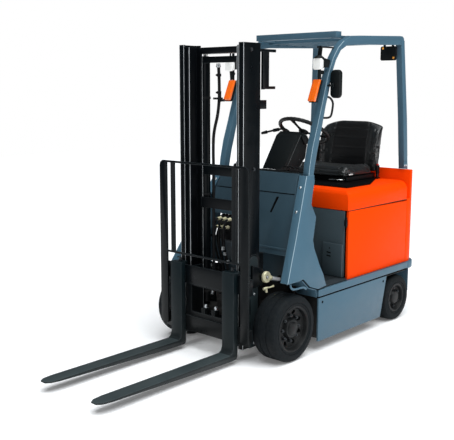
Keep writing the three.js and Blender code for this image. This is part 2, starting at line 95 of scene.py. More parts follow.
def noise(nt, vec, scale, detail=4, rough=0.55, dist=0.0):
    n = nt.nodes.new("ShaderNodeTexNoise")
    n.inputs["Scale"].default_value = scale
    n.inputs["Detail"].default_value = detail
    n.inputs["Roughness"].default_value = rough
    n.inputs["Distortion"].default_value = dist
    nt.links.new(vec, n.inputs["Vector"])
    return n.outputs["Fac"]


def ramp(nt, fac, stops):
    r = nt.nodes.new("ShaderNodeValToRGB")
    e = r.color_ramp.elements
    while len(e) > 1:
        e.remove(e[-1])
    e[0].position, e[0].color = stops[0][0], (*stops[0][1], 1)
    for p, c in stops[1:]:
        k = e.new(p)
        k.color = (*c, 1)
    nt.links.new(fac, r.inputs["Fac"])
    return r.outputs["Color"]


def grey(v):
    return (v, v, v)


def mix_col(nt, fac, a, b, mode="MIX"):
    m = nt.nodes.new("ShaderNodeMix")
    m.data_type = "RGBA"
    m.blend_type = mode
    for sock, val in ((m.inputs["Factor"], fac), (m.inputs[6], a), (m.inputs[7], b)):
        if isinstance(val, bpy.types.NodeSocket):
            nt.links.new(val, sock)
        elif isinstance(val, (tuple, list)):
            sock.default_value = (*val, 1) if len(val) == 3 else val
        else:
            sock.default_value = val
    return m.outputs[2]


def bump(nt, bsdf, height, strength, distance=0.001, normal=None):
    b = nt.nodes.new("ShaderNodeBump")
    b.inputs["Strength"].default_value = strength
    b.inputs["Distance"].default_value = distance
    nt.links.new(height, b.inputs["Height"])
    if normal is not None:
        nt.links.new(normal, b.inputs["Normal"])
    nt.links.new(b.outputs["Normal"], bsdf.inputs["Normal"])
    return b.outputs["Normal"]


def edge_wear_highlight_mask(nt, radius=0.004, lo=0.02, hi=0.25):
    """Bright on edges and corners, a painted highlight mixed with worn paint: how far the rounded normal leaves the
    true one.
    """
    bev = nt.nodes.new("ShaderNodeBevel")
    bev.samples = 4
    bev.inputs["Radius"].default_value = radius
    geo = nt.nodes.new("ShaderNodeNewGeometry")
    dot = nt.nodes.new("ShaderNodeVectorMath")
    dot.operation = "DOT_PRODUCT"
    nt.links.new(bev.outputs["Normal"], dot.inputs[0])
    nt.links.new(geo.outputs["Normal"], dot.inputs[1])
    mr = nt.nodes.new("ShaderNodeMapRange")
    mr.inputs["From Min"].default_value = 1 - lo
    mr.inputs["From Max"].default_value = 1 - hi
    nt.links.new(dot.outputs["Value"], mr.inputs["Value"])
    return mr.outputs["Result"]


def paint(name, rgb, rough=0.38, var=0.07, peel=0.06, spec=0.5, coat=0.0, edge=None, edge_wear_highlight_amt=0.0, dust=0.0, metallic=0.0):
    m, nt, b = mat_new(name)
    v = coords(nt)
    n1 = noise(nt, v, 2.3, 5, 0.6)
    lo = tuple(c * (1 - var) for c in rgb)
    hi = tuple(min(1, c * (1 + var)) for c in rgb)
    col = ramp(nt, n1, [(0.3, lo), (0.7, hi)])
    if dust > 0:
        sep = nt.nodes.new("ShaderNodeSeparateXYZ")
        nt.links.new(v, sep.inputs[0])
        mr = nt.nodes.new("ShaderNodeMapRange")
        mr.inputs["From Min"].default_value = 0.55
        mr.inputs["From Max"].default_value = 0.05
        mr.inputs["To Max"].default_value = dust
        nt.links.new(sep.outputs["Z"], mr.inputs["Value"])
        n3 = noise(nt, v, 9, 6, 0.65)
        mm = nt.nodes.new("ShaderNodeMath")
        mm.operation = "MULTIPLY"
        nt.links.new(mr.outputs["Result"], mm.inputs[0])
        nt.links.new(n3, mm.inputs[1])
        col = mix_col(nt, mm.outputs[0], col, (0.16, 0.145, 0.125))
    # lighter colour along edges: painted edge highlight mixed with worn paint
    if edge_wear_highlight_amt > 0:
        em = edge_wear_highlight_mask(nt)
        n4 = noise(nt, v, 38, 4, 0.7)
        e2 = nt.nodes.new("ShaderNodeMath")
        e2.operation = "MULTIPLY"
        nt.links.new(em, e2.inputs[0])
        r4 = ramp(nt, n4, [(0.35, grey(edge_wear_highlight_amt * 0.45)), (0.7, grey(edge_wear_highlight_amt))])
        nt.links.new(r4, e2.inputs[1])
        col = mix_col(nt, e2.outputs[0], col, edge or tuple(min(1, c * 2.2 + 0.05) for c in rgb))
    nt.links.new(col, b.inputs["Base Color"])
    rr = ramp(nt, noise(nt, v, 14, 5, 0.65), [(0.3, grey(max(0.04, rough - 0.06))), (0.75, grey(rough + 0.07))])
    nt.links.new(rr, b.inputs["Roughness"])
    b.inputs["Specular IOR Level"].default_value = spec
    b.inputs["Metallic"].default_value = metallic
    b.inputs["Coat Weight"].default_value = coat
    b.inputs["Coat Roughness"].default_value = 0.12
    bump(nt, b, noise(nt, v, 420, 3, 0.5), peel, 0.0006)
    return m


def plastic(name, rgb, rough=0.55, grain=260, strength=0.35, var=0.12, spec=0.4):
    m, nt, b = mat_new(name)
    v = coords(nt)
    n1 = noise(nt, v, 5, 4)
    nt.links.new(ramp(nt, n1, [(0.3, tuple(c * (1 - var) for c in rgb)), (0.7, tuple(c * (1 + var) for c in rgb))]), b.inputs["Base Color"])
    nt.links.new(ramp(nt, noise(nt, v, 20, 4), [(0.3, grey(rough - 0.06)), (0.7, grey(rough + 0.06))]), b.inputs["Roughness"])
    b.inputs["Specular IOR Level"].default_value = spec
    vo = nt.nodes.new("ShaderNodeTexVoronoi")
    vo.inputs["Scale"].default_value = grain
    nt.links.new(v, vo.inputs["Vector"])
    bump(nt, b, vo.outputs["Distance"], strength, 0.0004)
    return m


def vinyl(name, rgb, rough=0.25, spec=0.6):
    m, nt, b = mat_new(name)
    v = coords(nt)
    vo = nt.nodes.new("ShaderNodeTexVoronoi")
    vo.feature = "DISTANCE_TO_EDGE"
    vo.inputs["Scale"].default_value = 190
    wob = nt.nodes.new("ShaderNodeTexNoise")
    wob.inputs["Scale"].default_value = 60
    nt.links.new(v, wob.inputs["Vector"])
    add = nt.nodes.new("ShaderNodeVectorMath")
    add.operation = "MULTIPLY_ADD"
    add.inputs[1].default_value = (0.012, 0.012, 0.012)
    nt.links.new(wob.outputs["Color"], add.inputs[0])
    nt.links.new(v, add.inputs[2])
    nt.links.new(add.outputs[0], vo.inputs["Vector"])
    gr = ramp(nt, vo.outputs["Distance"], [(0.0, grey(0.0)), (0.12, grey(1.0))])
    n1 = noise(nt, v, 6, 4)
    base = ramp(nt, n1, [(0.3, tuple(c * 0.85 for c in rgb)), (0.7, tuple(c * 1.2 for c in rgb))])
    nt.links.new(mix_col(nt, gr, tuple(c * 0.6 for c in rgb), base), b.inputs["Base Color"])
    nt.links.new(ramp(nt, noise(nt, v, 18, 5), [(0.3, grey(rough)), (0.75, grey(rough + 0.13))]), b.inputs["Roughness"])
    b.inputs["Specular IOR Level"].default_value = spec
    b.inputs["Sheen Weight"].default_value = 0.08
    bump(nt, b, gr, 0.07, 0.00015)
    return m


def steel(name, rgb, rough=0.22, brushed=0.0, metallic=1.0):
    m, nt, b = mat_new(name)
    v = coords(nt)
    b.inputs["Metallic"].default_value = metallic
    n1 = noise(nt, v, 40, 5, 0.6)
    nt.links.new(ramp(nt, n1, [(0.3, tuple(c * 0.85 for c in rgb)), (0.7, tuple(min(1, c * 1.1) for c in rgb))]), b.inputs["Base Color"])
    nt.links.new(ramp(nt, noise(nt, v, 90, 3), [(0.3, grey(rough * 0.8)), (0.7, grey(rough * 1.4))]), b.inputs["Roughness"])
    if brushed:
        bump(nt, b, noise(nt, coords(nt, (1, 1, 0.05)), 900, 2), brushed, 0.0003)
    return m


def rubber(name, rgb=(0.0145, 0.016, 0.0175), rough=0.72):
    m, nt, b = mat_new(name)
    v = coords(nt)
    n1 = noise(nt, v, 7, 6, 0.65)
    n2 = noise(nt, v, 60, 4, 0.6)
    c1 = ramp(nt, n1, [(0.3, tuple(c * 0.75 for c in rgb)), (0.75, tuple(c * 1.45 for c in rgb))])
    fine = ramp(nt, n2, [(0.35, grey(0.0)), (0.8, grey(0.3))])
    nt.links.new(mix_col(nt, fine, c1, (0.022, 0.023, 0.023)), b.inputs["Base Color"])
    nt.links.new(ramp(nt, n1, [(0.3, grey(rough - 0.1)), (0.7, grey(rough + 0.1))]), b.inputs["Roughness"])
    b.inputs["Specular IOR Level"].default_value = 0.14
    bump(nt, b, noise(nt, v, 700, 3), 0.25, 0.0004)
    return m


def lens(name, rgb, rough=0.12, ribs=0.0, emit=0.0):
    m, nt, b = mat_new(name)
    v = coords(nt)
    n1 = noise(nt, v, 30, 3)
    nt.links.new(ramp(nt, n1, [(0.3, tuple(c * 0.92 for c in rgb)), (0.7, tuple(min(1, c * 1.04) for c in rgb))]), b.inputs["Base Color"])
    b.inputs["Roughness"].default_value = rough
    b.inputs["Coat Weight"].default_value = 0.6
    b.inputs["Coat Roughness"].default_value = 0.06
    # faint emission on the lens: painted glow
    if emit:
        b.inputs["Emission Color"].default_value = (*rgb, 1)
        b.inputs["Emission Strength"].default_value = emit
    if ribs:
        w = nt.nodes.new("ShaderNodeTexWave")
        w.bands_direction = "X"
        w.inputs["Scale"].default_value = ribs
        nt.links.new(v, w.inputs["Vector"])
        bump(nt, b, w.outputs["Fac"], 0.5, 0.001)
    else:
        bump(nt, b, noise(nt, v, 300, 2), 0.05, 0.0004)
    return m


# edge colours and amounts below paint highlight and worn paint along the edges
M = {
    "grey": paint("paint_blue_grey", (0.064, 0.134, 0.188), 0.4, 0.05, spec=0.15, edge_wear_highlight_amt=0.5, edge=(0.34, 0.46, 0.52), dust=0.3),
    "grey_dark": paint("paint_blue_grey_deep", (0.052, 0.074, 0.086), 0.42, 0.08, spec=0.2, edge_wear_highlight_amt=0.4, edge=(0.14, 0.2, 0.24)),
    # cowl paint is the body blue-grey darkened: painted shade
    "cowl": paint("paint_cowl_shaded", (0.033, 0.062, 0.083), 0.34, 0.06, spec=0.25, edge_wear_highlight_amt=0.5, edge=(0.24, 0.34, 0.4)),
    "orange": paint("paint_orange", (0.965, 0.060, 0.001), 0.45, 0.03, spec=0.03, edge_wear_highlight_amt=0.3, edge=(1.0, 0.2, 0.05)),
    "mast": paint("paint_mast_black", (0.0019, 0.0034, 0.0046), 0.32, 0.15, spec=0.13, edge_wear_highlight_amt=0.55, edge=(0.15, 0.18, 0.19), dust=0.1),
    "mast_in": paint("paint_inner_black", (0.0020, 0.0030, 0.0042), 0.38, 0.15, spec=0.14, edge_wear_highlight_amt=0.4, edge=(0.11, 0.13, 0.14)),
    "fork": paint("fork_black", (0.0050, 0.0105, 0.0130), 0.34, 0.14, spec=0.16, edge_wear_highlight_amt=0.6, edge=(0.16, 0.19, 0.2), dust=0.12),
    "wheel": paint("wheel_black", (0.0030, 0.0044, 0.0056), 0.38, 0.12, spec=0.14, edge_wear_highlight_amt=0.35, edge=(0.12, 0.13, 0.14), dust=0.1),
    "iron": paint("frame_black", (0.0065, 0.0072, 0.0085), 0.55, 0.2, peel=0.3, spec=0.2, dust=0.3),
    "plastic": plastic("plastic_black", (0.0032, 0.0054, 0.0062), spec=0.16),
    "plastic_soft": plastic("rim_grip_black", (0.006, 0.0068, 0.0072), 0.5, 420, 0.3, spec=0.3),
    "vinyl": vinyl("vinyl_black", (0.0036, 0.0054, 0.0060)),
    "piping": plastic("piping_grey", (0.055, 0.062, 0.064), 0.45, 500, 0.2),
    "rubber": rubber("tyre_rubber", (0.0032, 0.0054, 0.0070)),
    "hose": rubber("hose_rubber", (0.008, 0.008, 0.009), 0.5),
    "mat": rubber("floor_mat_rubber", (0.018, 0.024, 0.028), 0.75),
    "steel": steel("bright_steel", (0.72, 0.73, 0.72), 0.2, 0.1),
    "zinc": steel("zinc_cream", (0.78, 0.74, 0.50), 0.42, 0.0, 0.35),
    "chain": steel("chain_steel", (0.16, 0.16, 0.155), 0.4, 0.0, 0.9),
    "bolt": steel("bolt_steel", (0.62, 0.65, 0.67), 0.3),
    "bolt_dark": steel("bolt_dark", (0.05, 0.055, 0.06), 0.4),
    "hole": plastic("shadow_black", (0.0015, 0.0015, 0.0018), 0.85, 200, 0.1, spec=0.05),
    # the emission on these lenses is painted glow; the clear lens also covers headlamp housings and the gauge glass
    "orange_lens": lens("lens_orange", (0.95, 0.15, 0.006), 0.18, 18, 0.12),
    "clear_lens": lens("lens_clear", (0.86, 0.86, 0.84), 0.1, 40, 0.25),
    "red_lens": lens("lens_red", (0.55, 0.01, 0.008), 0.15, 24),
    "amber_lens": lens("lens_amber", (0.85, 0.33, 0.02), 0.15, 24, 0.05),
    "mirror": steel("mirror_glass", (0.8, 0.82, 0.83), 0.05),
    # light steel for strips along the mast rail corners: painted highlight lines
    "rail_highlight": steel("rail_highlight_steel", (0.62, 0.65, 0.67), 0.42, 0.0, 0.5),
    # lighter paint for the blades' upward faces: painted top light
    "fork_top_lit": paint("fork_painted_top_light", (0.030, 0.043, 0.047), 0.36, 0.22, spec=0.3, edge_wear_highlight_amt=0.6, edge=(0.16, 0.19, 0.2), dust=0.1),
    "plate_grey": paint("mast_plate_paint", (0.018, 0.027, 0.030), 0.38, 0.1, spec=0.2, edge_wear_highlight_amt=0.5, edge=(0.16, 0.19, 0.2)),
    "chrome_light": steel("chrome_light", (0.80, 0.82, 0.84), 0.34, 0.0, 0.35),
    # a darker copy of the black plastic for the seat pan under the cushion, darkened against the top light: painted
    # shade
    "pan_black": plastic("seat_pan_shaded", (0.0009, 0.0011, 0.0014), spec=0.07),
    "vinyl_deep": vinyl("vinyl_centre", (0.0014, 0.0018, 0.0026), 0.42, 0.3),
    # light blue-grey for strips along folded edges: painted highlight
    "edge_highlight_line": paint("paint_edge_highlight", (0.42, 0.55, 0.62), 0.3, 0.12, spec=0.4),
}


# ------------------------------------------------------------- mesh helpers
def link(ob):
    bpy.context.scene.collection.objects.link(ob)
    return ob


def smooth_mesh(bm, angle=32):
    lim = math.radians(angle)
    for f in bm.faces:
        f.smooth = True
    for e in bm.edges:
        e.smooth = not (len(e.link_faces) == 2 and e.calc_face_angle(0) > lim)


def emit(name, bm, mat, body, bevel=0.0, segs=2, angle=30, replaces=(), slot=None, bevel_angle=None):
    """Turns a bmesh into a piece that rides on a body."""
    bmesh.ops.recalc_face_normals(bm, faces=bm.faces)
    if bevel > 0:
        lim = math.radians(bevel_angle or angle)
        es = [e for e in bm.edges if len(e.link_faces) == 2 and e.calc_face_angle(0) > lim]
        if es:
            bmesh.ops.bevel(bm, geom=es, offset=bevel / 1000.0, segments=segs, profile=0.5, affect="EDGES", clamp_overlap=True)
    smooth_mesh(bm, angle)
    me = bpy.data.meshes.new(name)
    bm.to_mesh(me)
    bm.free()
    me.materials.append(M[mat] if isinstance(mat, str) else mat)
    ob = link(bpy.data.objects.new(name, me))
    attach(ob, body)
    if replaces:
        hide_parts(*replaces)
    return ob


def refine(node, mat, bevel=2.5, angle=26, segs=2, extra=None):
    """A copy of a CAD node with its flats merged, edges rounded and a better finish."""
    src = NODES[node]
    bm = bmesh.new()
    bm.from_mesh(src.data)
    bmesh.ops.transform(bm, matrix=src.matrix_world, verts=bm.verts)
    bmesh.ops.remove_doubles(bm, verts=bm.verts, dist=2e-5)
    bmesh.ops.dissolve_limit(bm, angle_limit=math.radians(0.6), verts=bm.verts, edges=bm.edges)
    if extra:
        extra(bm)
    return emit(node + "_body", bm, mat, BODY_OF[node], bevel, segs, angle, (node,), None)


def add_box(bm, x0, x1, y0, y1, z0, z1, rot=None, at=None):
    vs = [bm.verts.new(P(x, y, z)) for x in (x0, x1) for y in (y0, y1) for z in (z0, z1)]
    for q in ((0, 1, 3, 2), (4, 6, 7, 5), (0, 4, 5, 1), (2, 3, 7, 6), (0, 2, 6, 4), (1, 5, 7, 3)):
        bm.faces.new([vs[i] for i in q])
    if rot is not None:
        c = at or P((x0 + x1) / 2, (y0 + y1) / 2, (z0 + z1) / 2)
        bmesh.ops.rotate(bm, verts=vs, cent=c, matrix=rot)
    return vs


def frame_of(d):
    d = Vector(d).normalized()
    a = Vector((1, 0, 0)) if abs(d.x) < 0.9 else Vector((0, 1, 0))
    u = d.cross(a).normalized()
    return d, u, d.cross(u).normalized()


def add_cyl(bm, p, q, r, seg=24, r2=None, cap=True):
    p, q = Vector(p), Vector(q)
    d, u, w = frame_of(q - p)
    r2 = r if r2 is None else r2
    rings = []
    for c, rr in ((p, r), (q, r2)):
        rings.append([bm.verts.new(c + (u * math.cos(2 * math.pi * i / seg) + w * math.sin(2 * math.pi * i / seg)) * rr) for i in range(seg)])
    for i in range(seg):
        bm.faces.new((rings[0][i], rings[0][(i + 1) % seg], rings[1][(i + 1) % seg], rings[1][i]))
    if cap:
        bm.faces.new(list(reversed(rings[0])))
        bm.faces.new(rings[1])
    return rings


def add_lathe(bm, profile, c, axis, seg=64):
    """profile of (radius, along), closed; turned about the axis through c. Radii in mm."""
    d, u, w = frame_of(axis)
    rings = []
    for r, a in profile:
        if r < 1e-6:
            rings.append([bm.verts.new(c + d * a / 1000)])
        else:
            rings.append([bm.verts.new(c + d * a / 1000 + (u * math.cos(2 * math.pi * i / seg) + w * math.sin(2 * math.pi * i / seg)) * r / 1000) for i in range(seg)])
    n = len(rings)
    for k in range(n):
        A, B = rings[k], rings[(k + 1) % n]
        if len(A) == 1 and len(B) == 1:
            continue
        for i in range(seg):
            j = (i + 1) % seg
            if len(A) == 1:
                bm.faces.new((A[0], B[j], B[i]))
            elif len(B) == 1:
                bm.faces.new((A[i], A[j], B[0]))
            else:
                bm.faces.new((A[i], A[j], B[j], B[i]))


def add_hex(bm, c, axis, af=17, h=9, washer=True):
    """Hex bolt head with a washer; c on the surface, axis outwards; mm."""
    d, u, w = frame_of(axis)
    if washer:
        add_cyl(bm, c - d * 0.0005, c + d * 0.0018, af * 0.68 / 1000, 20)
    r = af / 2 / math.cos(math.pi / 6) / 1000
    base = c + d * 0.0016
    lo = [bm.verts.new(base + (u * math.cos(math.pi / 3 * i) + w * math.sin(math.pi / 3 * i)) * r) for i in range(6)]
    hi = [bm.verts.new(base + d * h * 0.8 / 1000 + (u * math.cos(math.pi / 3 * i) + w * math.sin(math.pi / 3 * i)) * r) for i in range(6)]
    top = [bm.verts.new(base + d * h / 1000 + (u * math.cos(math.pi / 3 * i) + w * math.sin(math.pi / 3 * i)) * r * 0.84) for i in range(6)]
    bm.faces.new(list(reversed(lo)))
    for i in range(6):
        j = (i + 1) % 6
        bm.faces.new((lo[i], lo[j], hi[j], hi[i]))
        bm.faces.new((hi[i], hi[j], top[j], top[i]))
    bm.faces.new(top)


def add_dome(bm, c, axis, r=8, h=5, seg=16):
    d, u, w = frame_of(axis)
    rings = []
    for k in range(4):
        a = k / 4 * math.pi / 2
        rr, hh = r * math.cos(a) / 1000, h * math.sin(a) / 1000
        rings.append([bm.verts.new(c + d * hh + (u * math.cos(2 * math.pi * i / seg) + w * math.sin(2 * math.pi * i / seg)) * rr) for i in range(seg)])
    top = bm.verts.new(c + d * h / 1000)
    bm.faces.new(list(reversed(rings[0])))
    for k in range(3):
        for i in range(seg):
            bm.faces.new((rings[k][i], rings[k][(i + 1) % seg], rings[k + 1][(i + 1) % seg], rings[k + 1][i]))
    for i in range(seg):
        bm.faces.new((rings[3][i], rings[3][(i + 1) % seg], top))


def smooth_path(pts, per=6, closed=False):
    pts = [Vector(p) for p in pts]
    n = len(pts)
    out = []
    rng = range(n if closed else n - 1)
    for i in rng:
        p0 = pts[(i - 1) % n] if closed or i > 0 else pts[0] * 2 - pts[1]
        p1, p2 = pts[i], pts[(i + 1) % n]
        p3 = pts[(i + 2) % n] if closed or i + 2 < n else pts[-1] * 2 - pts[-2]
        for k in range(per):
            t = k / per
            out.append(0.5 * ((2 * p1) + (p2 - p0) * t + (2 * p0 - 5 * p1 + 4 * p2 - p3) * t * t + (3 * p1 - p0 - 3 * p2 + p3) * t * t * t))
    if not closed:
        out.append(pts[-1])
    return out


def add_tube(bm, pts, r, seg=12, closed=False, cap=True, radii=None):
    """Round tube along points (metres), r in metres."""
    n = len(pts)
    T = []
    for i in range(n):
        a = pts[(i - 1) % n] if closed or i > 0 else pts[i]
        b = pts[(i + 1) % n] if closed or i < n - 1 else pts[i]
        T.append((b - a).normalized())
    u = frame_of(T[0])[1]
    rings = []
    for i in range(n):
        u = (u - T[i] * u.dot(T[i])).normalized()
        w = T[i].cross(u)
        rr = radii[i] if radii else r
        rings.append([bm.verts.new(pts[i] + (u * math.cos(2 * math.pi * k / seg) + w * math.sin(2 * math.pi * k / seg)) * rr) for k in range(seg)])
    m = n if closed else n - 1
    for i in range(m):
        A, B = rings[i], rings[(i + 1) % n]
        off = 0
        if closed and i == n - 1:
            best = min(range(seg), key=lambda o: (A[0].co - B[o].co).length)
            off = best
        for k in range(seg):
            bm.faces.new((A[k], A[(k + 1) % seg], B[(k + 1 + off) % seg], B[(k + off) % seg]))
    if not closed and cap:
        bm.faces.new(list(reversed(rings[0])))
        bm.faces.new(rings[-1])


def prism(bm, outline, a0, a1, plane="yz"):
    """Closed prism; outline in mm in the plane, from a0 to a1 along the other axis."""
    def pt(p, a):
        if plane == "yz":
            return P(a, p[0], p[1])
        if plane == "xz":
            return P(p[0], a, p[1])
        return P(p[0], p[1], a)
    A = [bm.verts.new(pt(p, a0)) for p in outline]
    B = [bm.verts.new(pt(p, a1)) for p in outline]
    n = len(outline)
    bm.faces.new(list(reversed(A)))
    bm.faces.new(B)
    for i in range(n):
        bm.faces.new((A[i], A[(i + 1) % n], B[(i + 1) % n], B[i]))
    return A + B


def rounded_rect(w, h, r, n=6, cx=0, cy=0):
    pts = []
    for sx, sy, a0 in ((1, 1, 0), (-1, 1, 90), (-1, -1, 180), (1, -1, 270)):
        for i in range(n + 1):
            a = math.radians(a0 + 90 * i / n)
            pts.append((cx + sx * (w / 2 - r) + r * math.cos(a), cy + sy * (h / 2 - r) + r * math.sin(a)))
    return pts


SIDES = (("left", 1), ("right", -1))


# ------------------------------------------------ sheet metal and castings
for n, m, b in (
        ("frame", "iron", 2), ("side_panel_left", "grey", 2.5), ("side_panel_right", "grey", 2.5),
        ("step_left", "grey", 2.5), ("step_right", "grey", 2.5), ("floor_plate", "mat", 1.5),
        ("drive_axle", "iron", 5), ("steer_axle", "iron", 5),
        ("steering_knuckle_left", "iron", 3), ("steering_knuckle_right", "iron", 3),
        ("battery", "plastic", 8), ("battery_panel_left", "orange", 5), ("battery_panel_right", "orange", 5),
        ("battery_bulkhead", "grey_dark", 2), ("counterweight", "orange", 9), ("counterweight_base", "grey", 7),
        ("hood", "orange", 5), ("cowl", "cowl", 5), ("column_stand", "iron", 2), ("steering_column", "plastic", 7),
        ("pedals", "mat", 3), ("lever_set", "plastic", 3), ("seat_pan", "pan_black", 2.5),
        ("guard_side_left", "grey", 3), ("guard_side_right", "grey", 3), ("roof_bars", "grey", 4),
        ("outer_mast", "mast", 1.7), ("inner_mast", "mast_in", 1.7), ("carriage", "mast", 2)):
    refine(n, m, b)


def slim_top(bm):
    """The backrest's top bar is slimmer than its posts."""
    for v in bm.verts:
        if abs(v.co.z - 1.228) < 0.002:
            v.co.z = 1.249


refine("load_backrest", "mast", 1.6, extra=slim_top)
for n in ("fork_left", "fork_right"):
    ob = refine(n, "fork", 3)
    # upward blade faces take the lighter paint: painted top light
    ob.data.materials.append(M["fork_top_lit"])
    for f in ob.data.polygons:
        if f.normal.z > 0.9 and f.center.z < 0.09:
            f.material_index = 1


def cut_corner(sx):
    """Cuts the fender's inner front corner off on a slant, clear of the tilt rod."""
    def cut(bm):
        bmesh.ops.bisect_plane(bm, geom=list(bm.verts) + list(bm.edges) + list(bm.faces), dist=1e-6,
                               plane_co=P(sx * 510, -72, 520), plane_no=(-sx * 0.70, -0.714, 0), clear_outer=True)
        bmesh.ops.holes_fill(bm, edges=[e for e in bm.edges if e.is_boundary])
    return cut


refine("fender_left", "grey", 1.4, extra=cut_corner(1))
refine("fender_right", "grey", 1.4, extra=cut_corner(-1))


# ------------------------------------------------------------------ wheels
def tyre(name, body, sx, R_, W, outer, rim, y, lugs, replaces):
    """Solid tyre with a rounded shoulder, sidewall rings and notched shoulders."""
    mid, h = outer - W / 2, W / 2
    prof = [(rim + 0.5, -h + 5), (rim + 5, -h + 1.5), (rim + 12, -h + 1), (rim + 15, -h + 4), (rim + 19, -h + 4), (rim + 22, -h),
            (R_ - 24, -h), (R_ - 20, -h + 2), (R_ - 13, -h + 2), (R_ - 8, -h + 6), (R_ - 3.5, -h + 14), (R_ - 1, -h + 24),
            (R_, -h + 34), (R_, -h * 0.36), (R_ - 5, -h * 0.33), (R_ - 5, -h * 0.27), (R_, -h * 0.24), (R_, 0)]
    prof += [(r, -a) for r, a in reversed(prof[:-1])]
    seg = lugs * 8
    bm = bmesh.new()
    rings = []
    for r, a in prof:
        ring = []
        for i in range(seg):
            k = i % 8
            rr = r
            if abs(a) > h * 0.38 and r > R_ - 12 and k in (0, 1):
                rr = r - 1.2
            t = 2 * math.pi * (i + (3.0 * a / h if r > R_ - 12 else 0)) / seg
            ring.append(bm.verts.new(P(sx * (mid + a), y + rr * math.cos(t), R_ + rr * math.sin(t))))
        rings.append(ring)
    n = len(rings)
    for j in range(n):
        A, B = rings[j], rings[(j + 1) % n]
        for i in range(seg):
            bm.faces.new((A[i], A[(i + 1) % seg], B[(i + 1) % seg], B[i]))
    emit(name, bm, "rubber", body, 0, 1, 38, (replaces,), "tyre_rubber")


for s, sx in SIDES:
    tyre("tyre_solid_front_" + s, "front_wheel_" + s, sx, 218, 178, 523, 150, 0, 26, "tyre_front_" + s)
    tyre("tyre_solid_rear_" + s, "rear_wheel_" + s, sx, 172, 127, 522, 104, 1262, 22, "tyre_rear_" + s)
    refine("wheel_front_" + s, "wheel", 2.2, 24, 2)
    refine("wheel_rear_" + s, "wheel", 2.0, 24, 2)
    # rolled rim flanges, wheel nuts and hub caps
    bm = bmesh.new()
    c = P(sx * 516, 0, 218)
    add_lathe(bm, [(138, -6), (141, 0), (146, 3.5), (151, 2.5), (153.5, -2), (150.5, -2), (147, 0), (142, -4)], c, (sx, 0, 0), 96)
    add_lathe(bm, [(126, -27), (129, -25.5), (133.5, -27.5), (133.5, -31), (126, -31)], c, (sx, 0, 0), 96)
    emit("rim_flange_front_" + s, bm, "wheel", "front_wheel_" + s, 0, 1, 50, (), "wheel_black")
    bm = bmesh.new()
    for i in range(8):
        a = i / 8 * 2 * math.pi
        o = P(sx * 476.5, 83 * math.cos(a), 218 + 83 * math.sin(a))
        add_hex(bm, o, (sx, 0, 0), 22, 16)
        add_cyl(bm, o + Vector((sx * 0.012, 0, 0)), o + Vector((sx * 0.023, 0, 0)), 0.006, 12)
    emit("wheel_nuts_front_" + s, bm, "bolt_dark", "front_wheel_" + s, 0.5, 1, 30, (), "iron_dark")
    bm = bmesh.new()
    add_lathe(bm, [(0, 10.5), (30, 9.5), (40, 6), (46, 0.5), (46, -3), (0, -3)], P(sx * 504.5, 0, 218), (sx, 0, 0), 48)
    emit("hub_cap_front_" + s, bm, "wheel", "front_wheel_" + s, 0, 1, 35, (), "wheel_black")
    bm = bmesh.new()
    c = P(sx * 514, 1262, 172)
    add_lathe(bm, [(91, -6), (94, 0), (99, 3.5), (104, 3), (107, -2), (104.5, -2), (101, 0), (95, -4)], c, (sx, 0, 0), 80)
    emit("rim_flange_rear_" + s, bm, "wheel", "rear_wheel_" + s, 0, 1, 50, (), "wheel_black")
    bm = bmesh.new()
    for i in range(6):
        a = (i + 0.5) / 6 * 2 * math.pi
        o = P(sx * 485.5, 1262 + 68 * math.cos(a), 172 + 68 * math.sin(a))
        add_hex(bm, o, (sx, 0, 0), 19, 12)
        add_cyl(bm, o + Vector((sx * 0.01, 0, 0)), o + Vector((sx * 0.018, 0, 0)), 0.005, 12)
    emit("wheel_nuts_rear_" + s, bm, "bolt_dark", "rear_wheel_" + s, 0.5, 1, 30, (), "iron_dark")


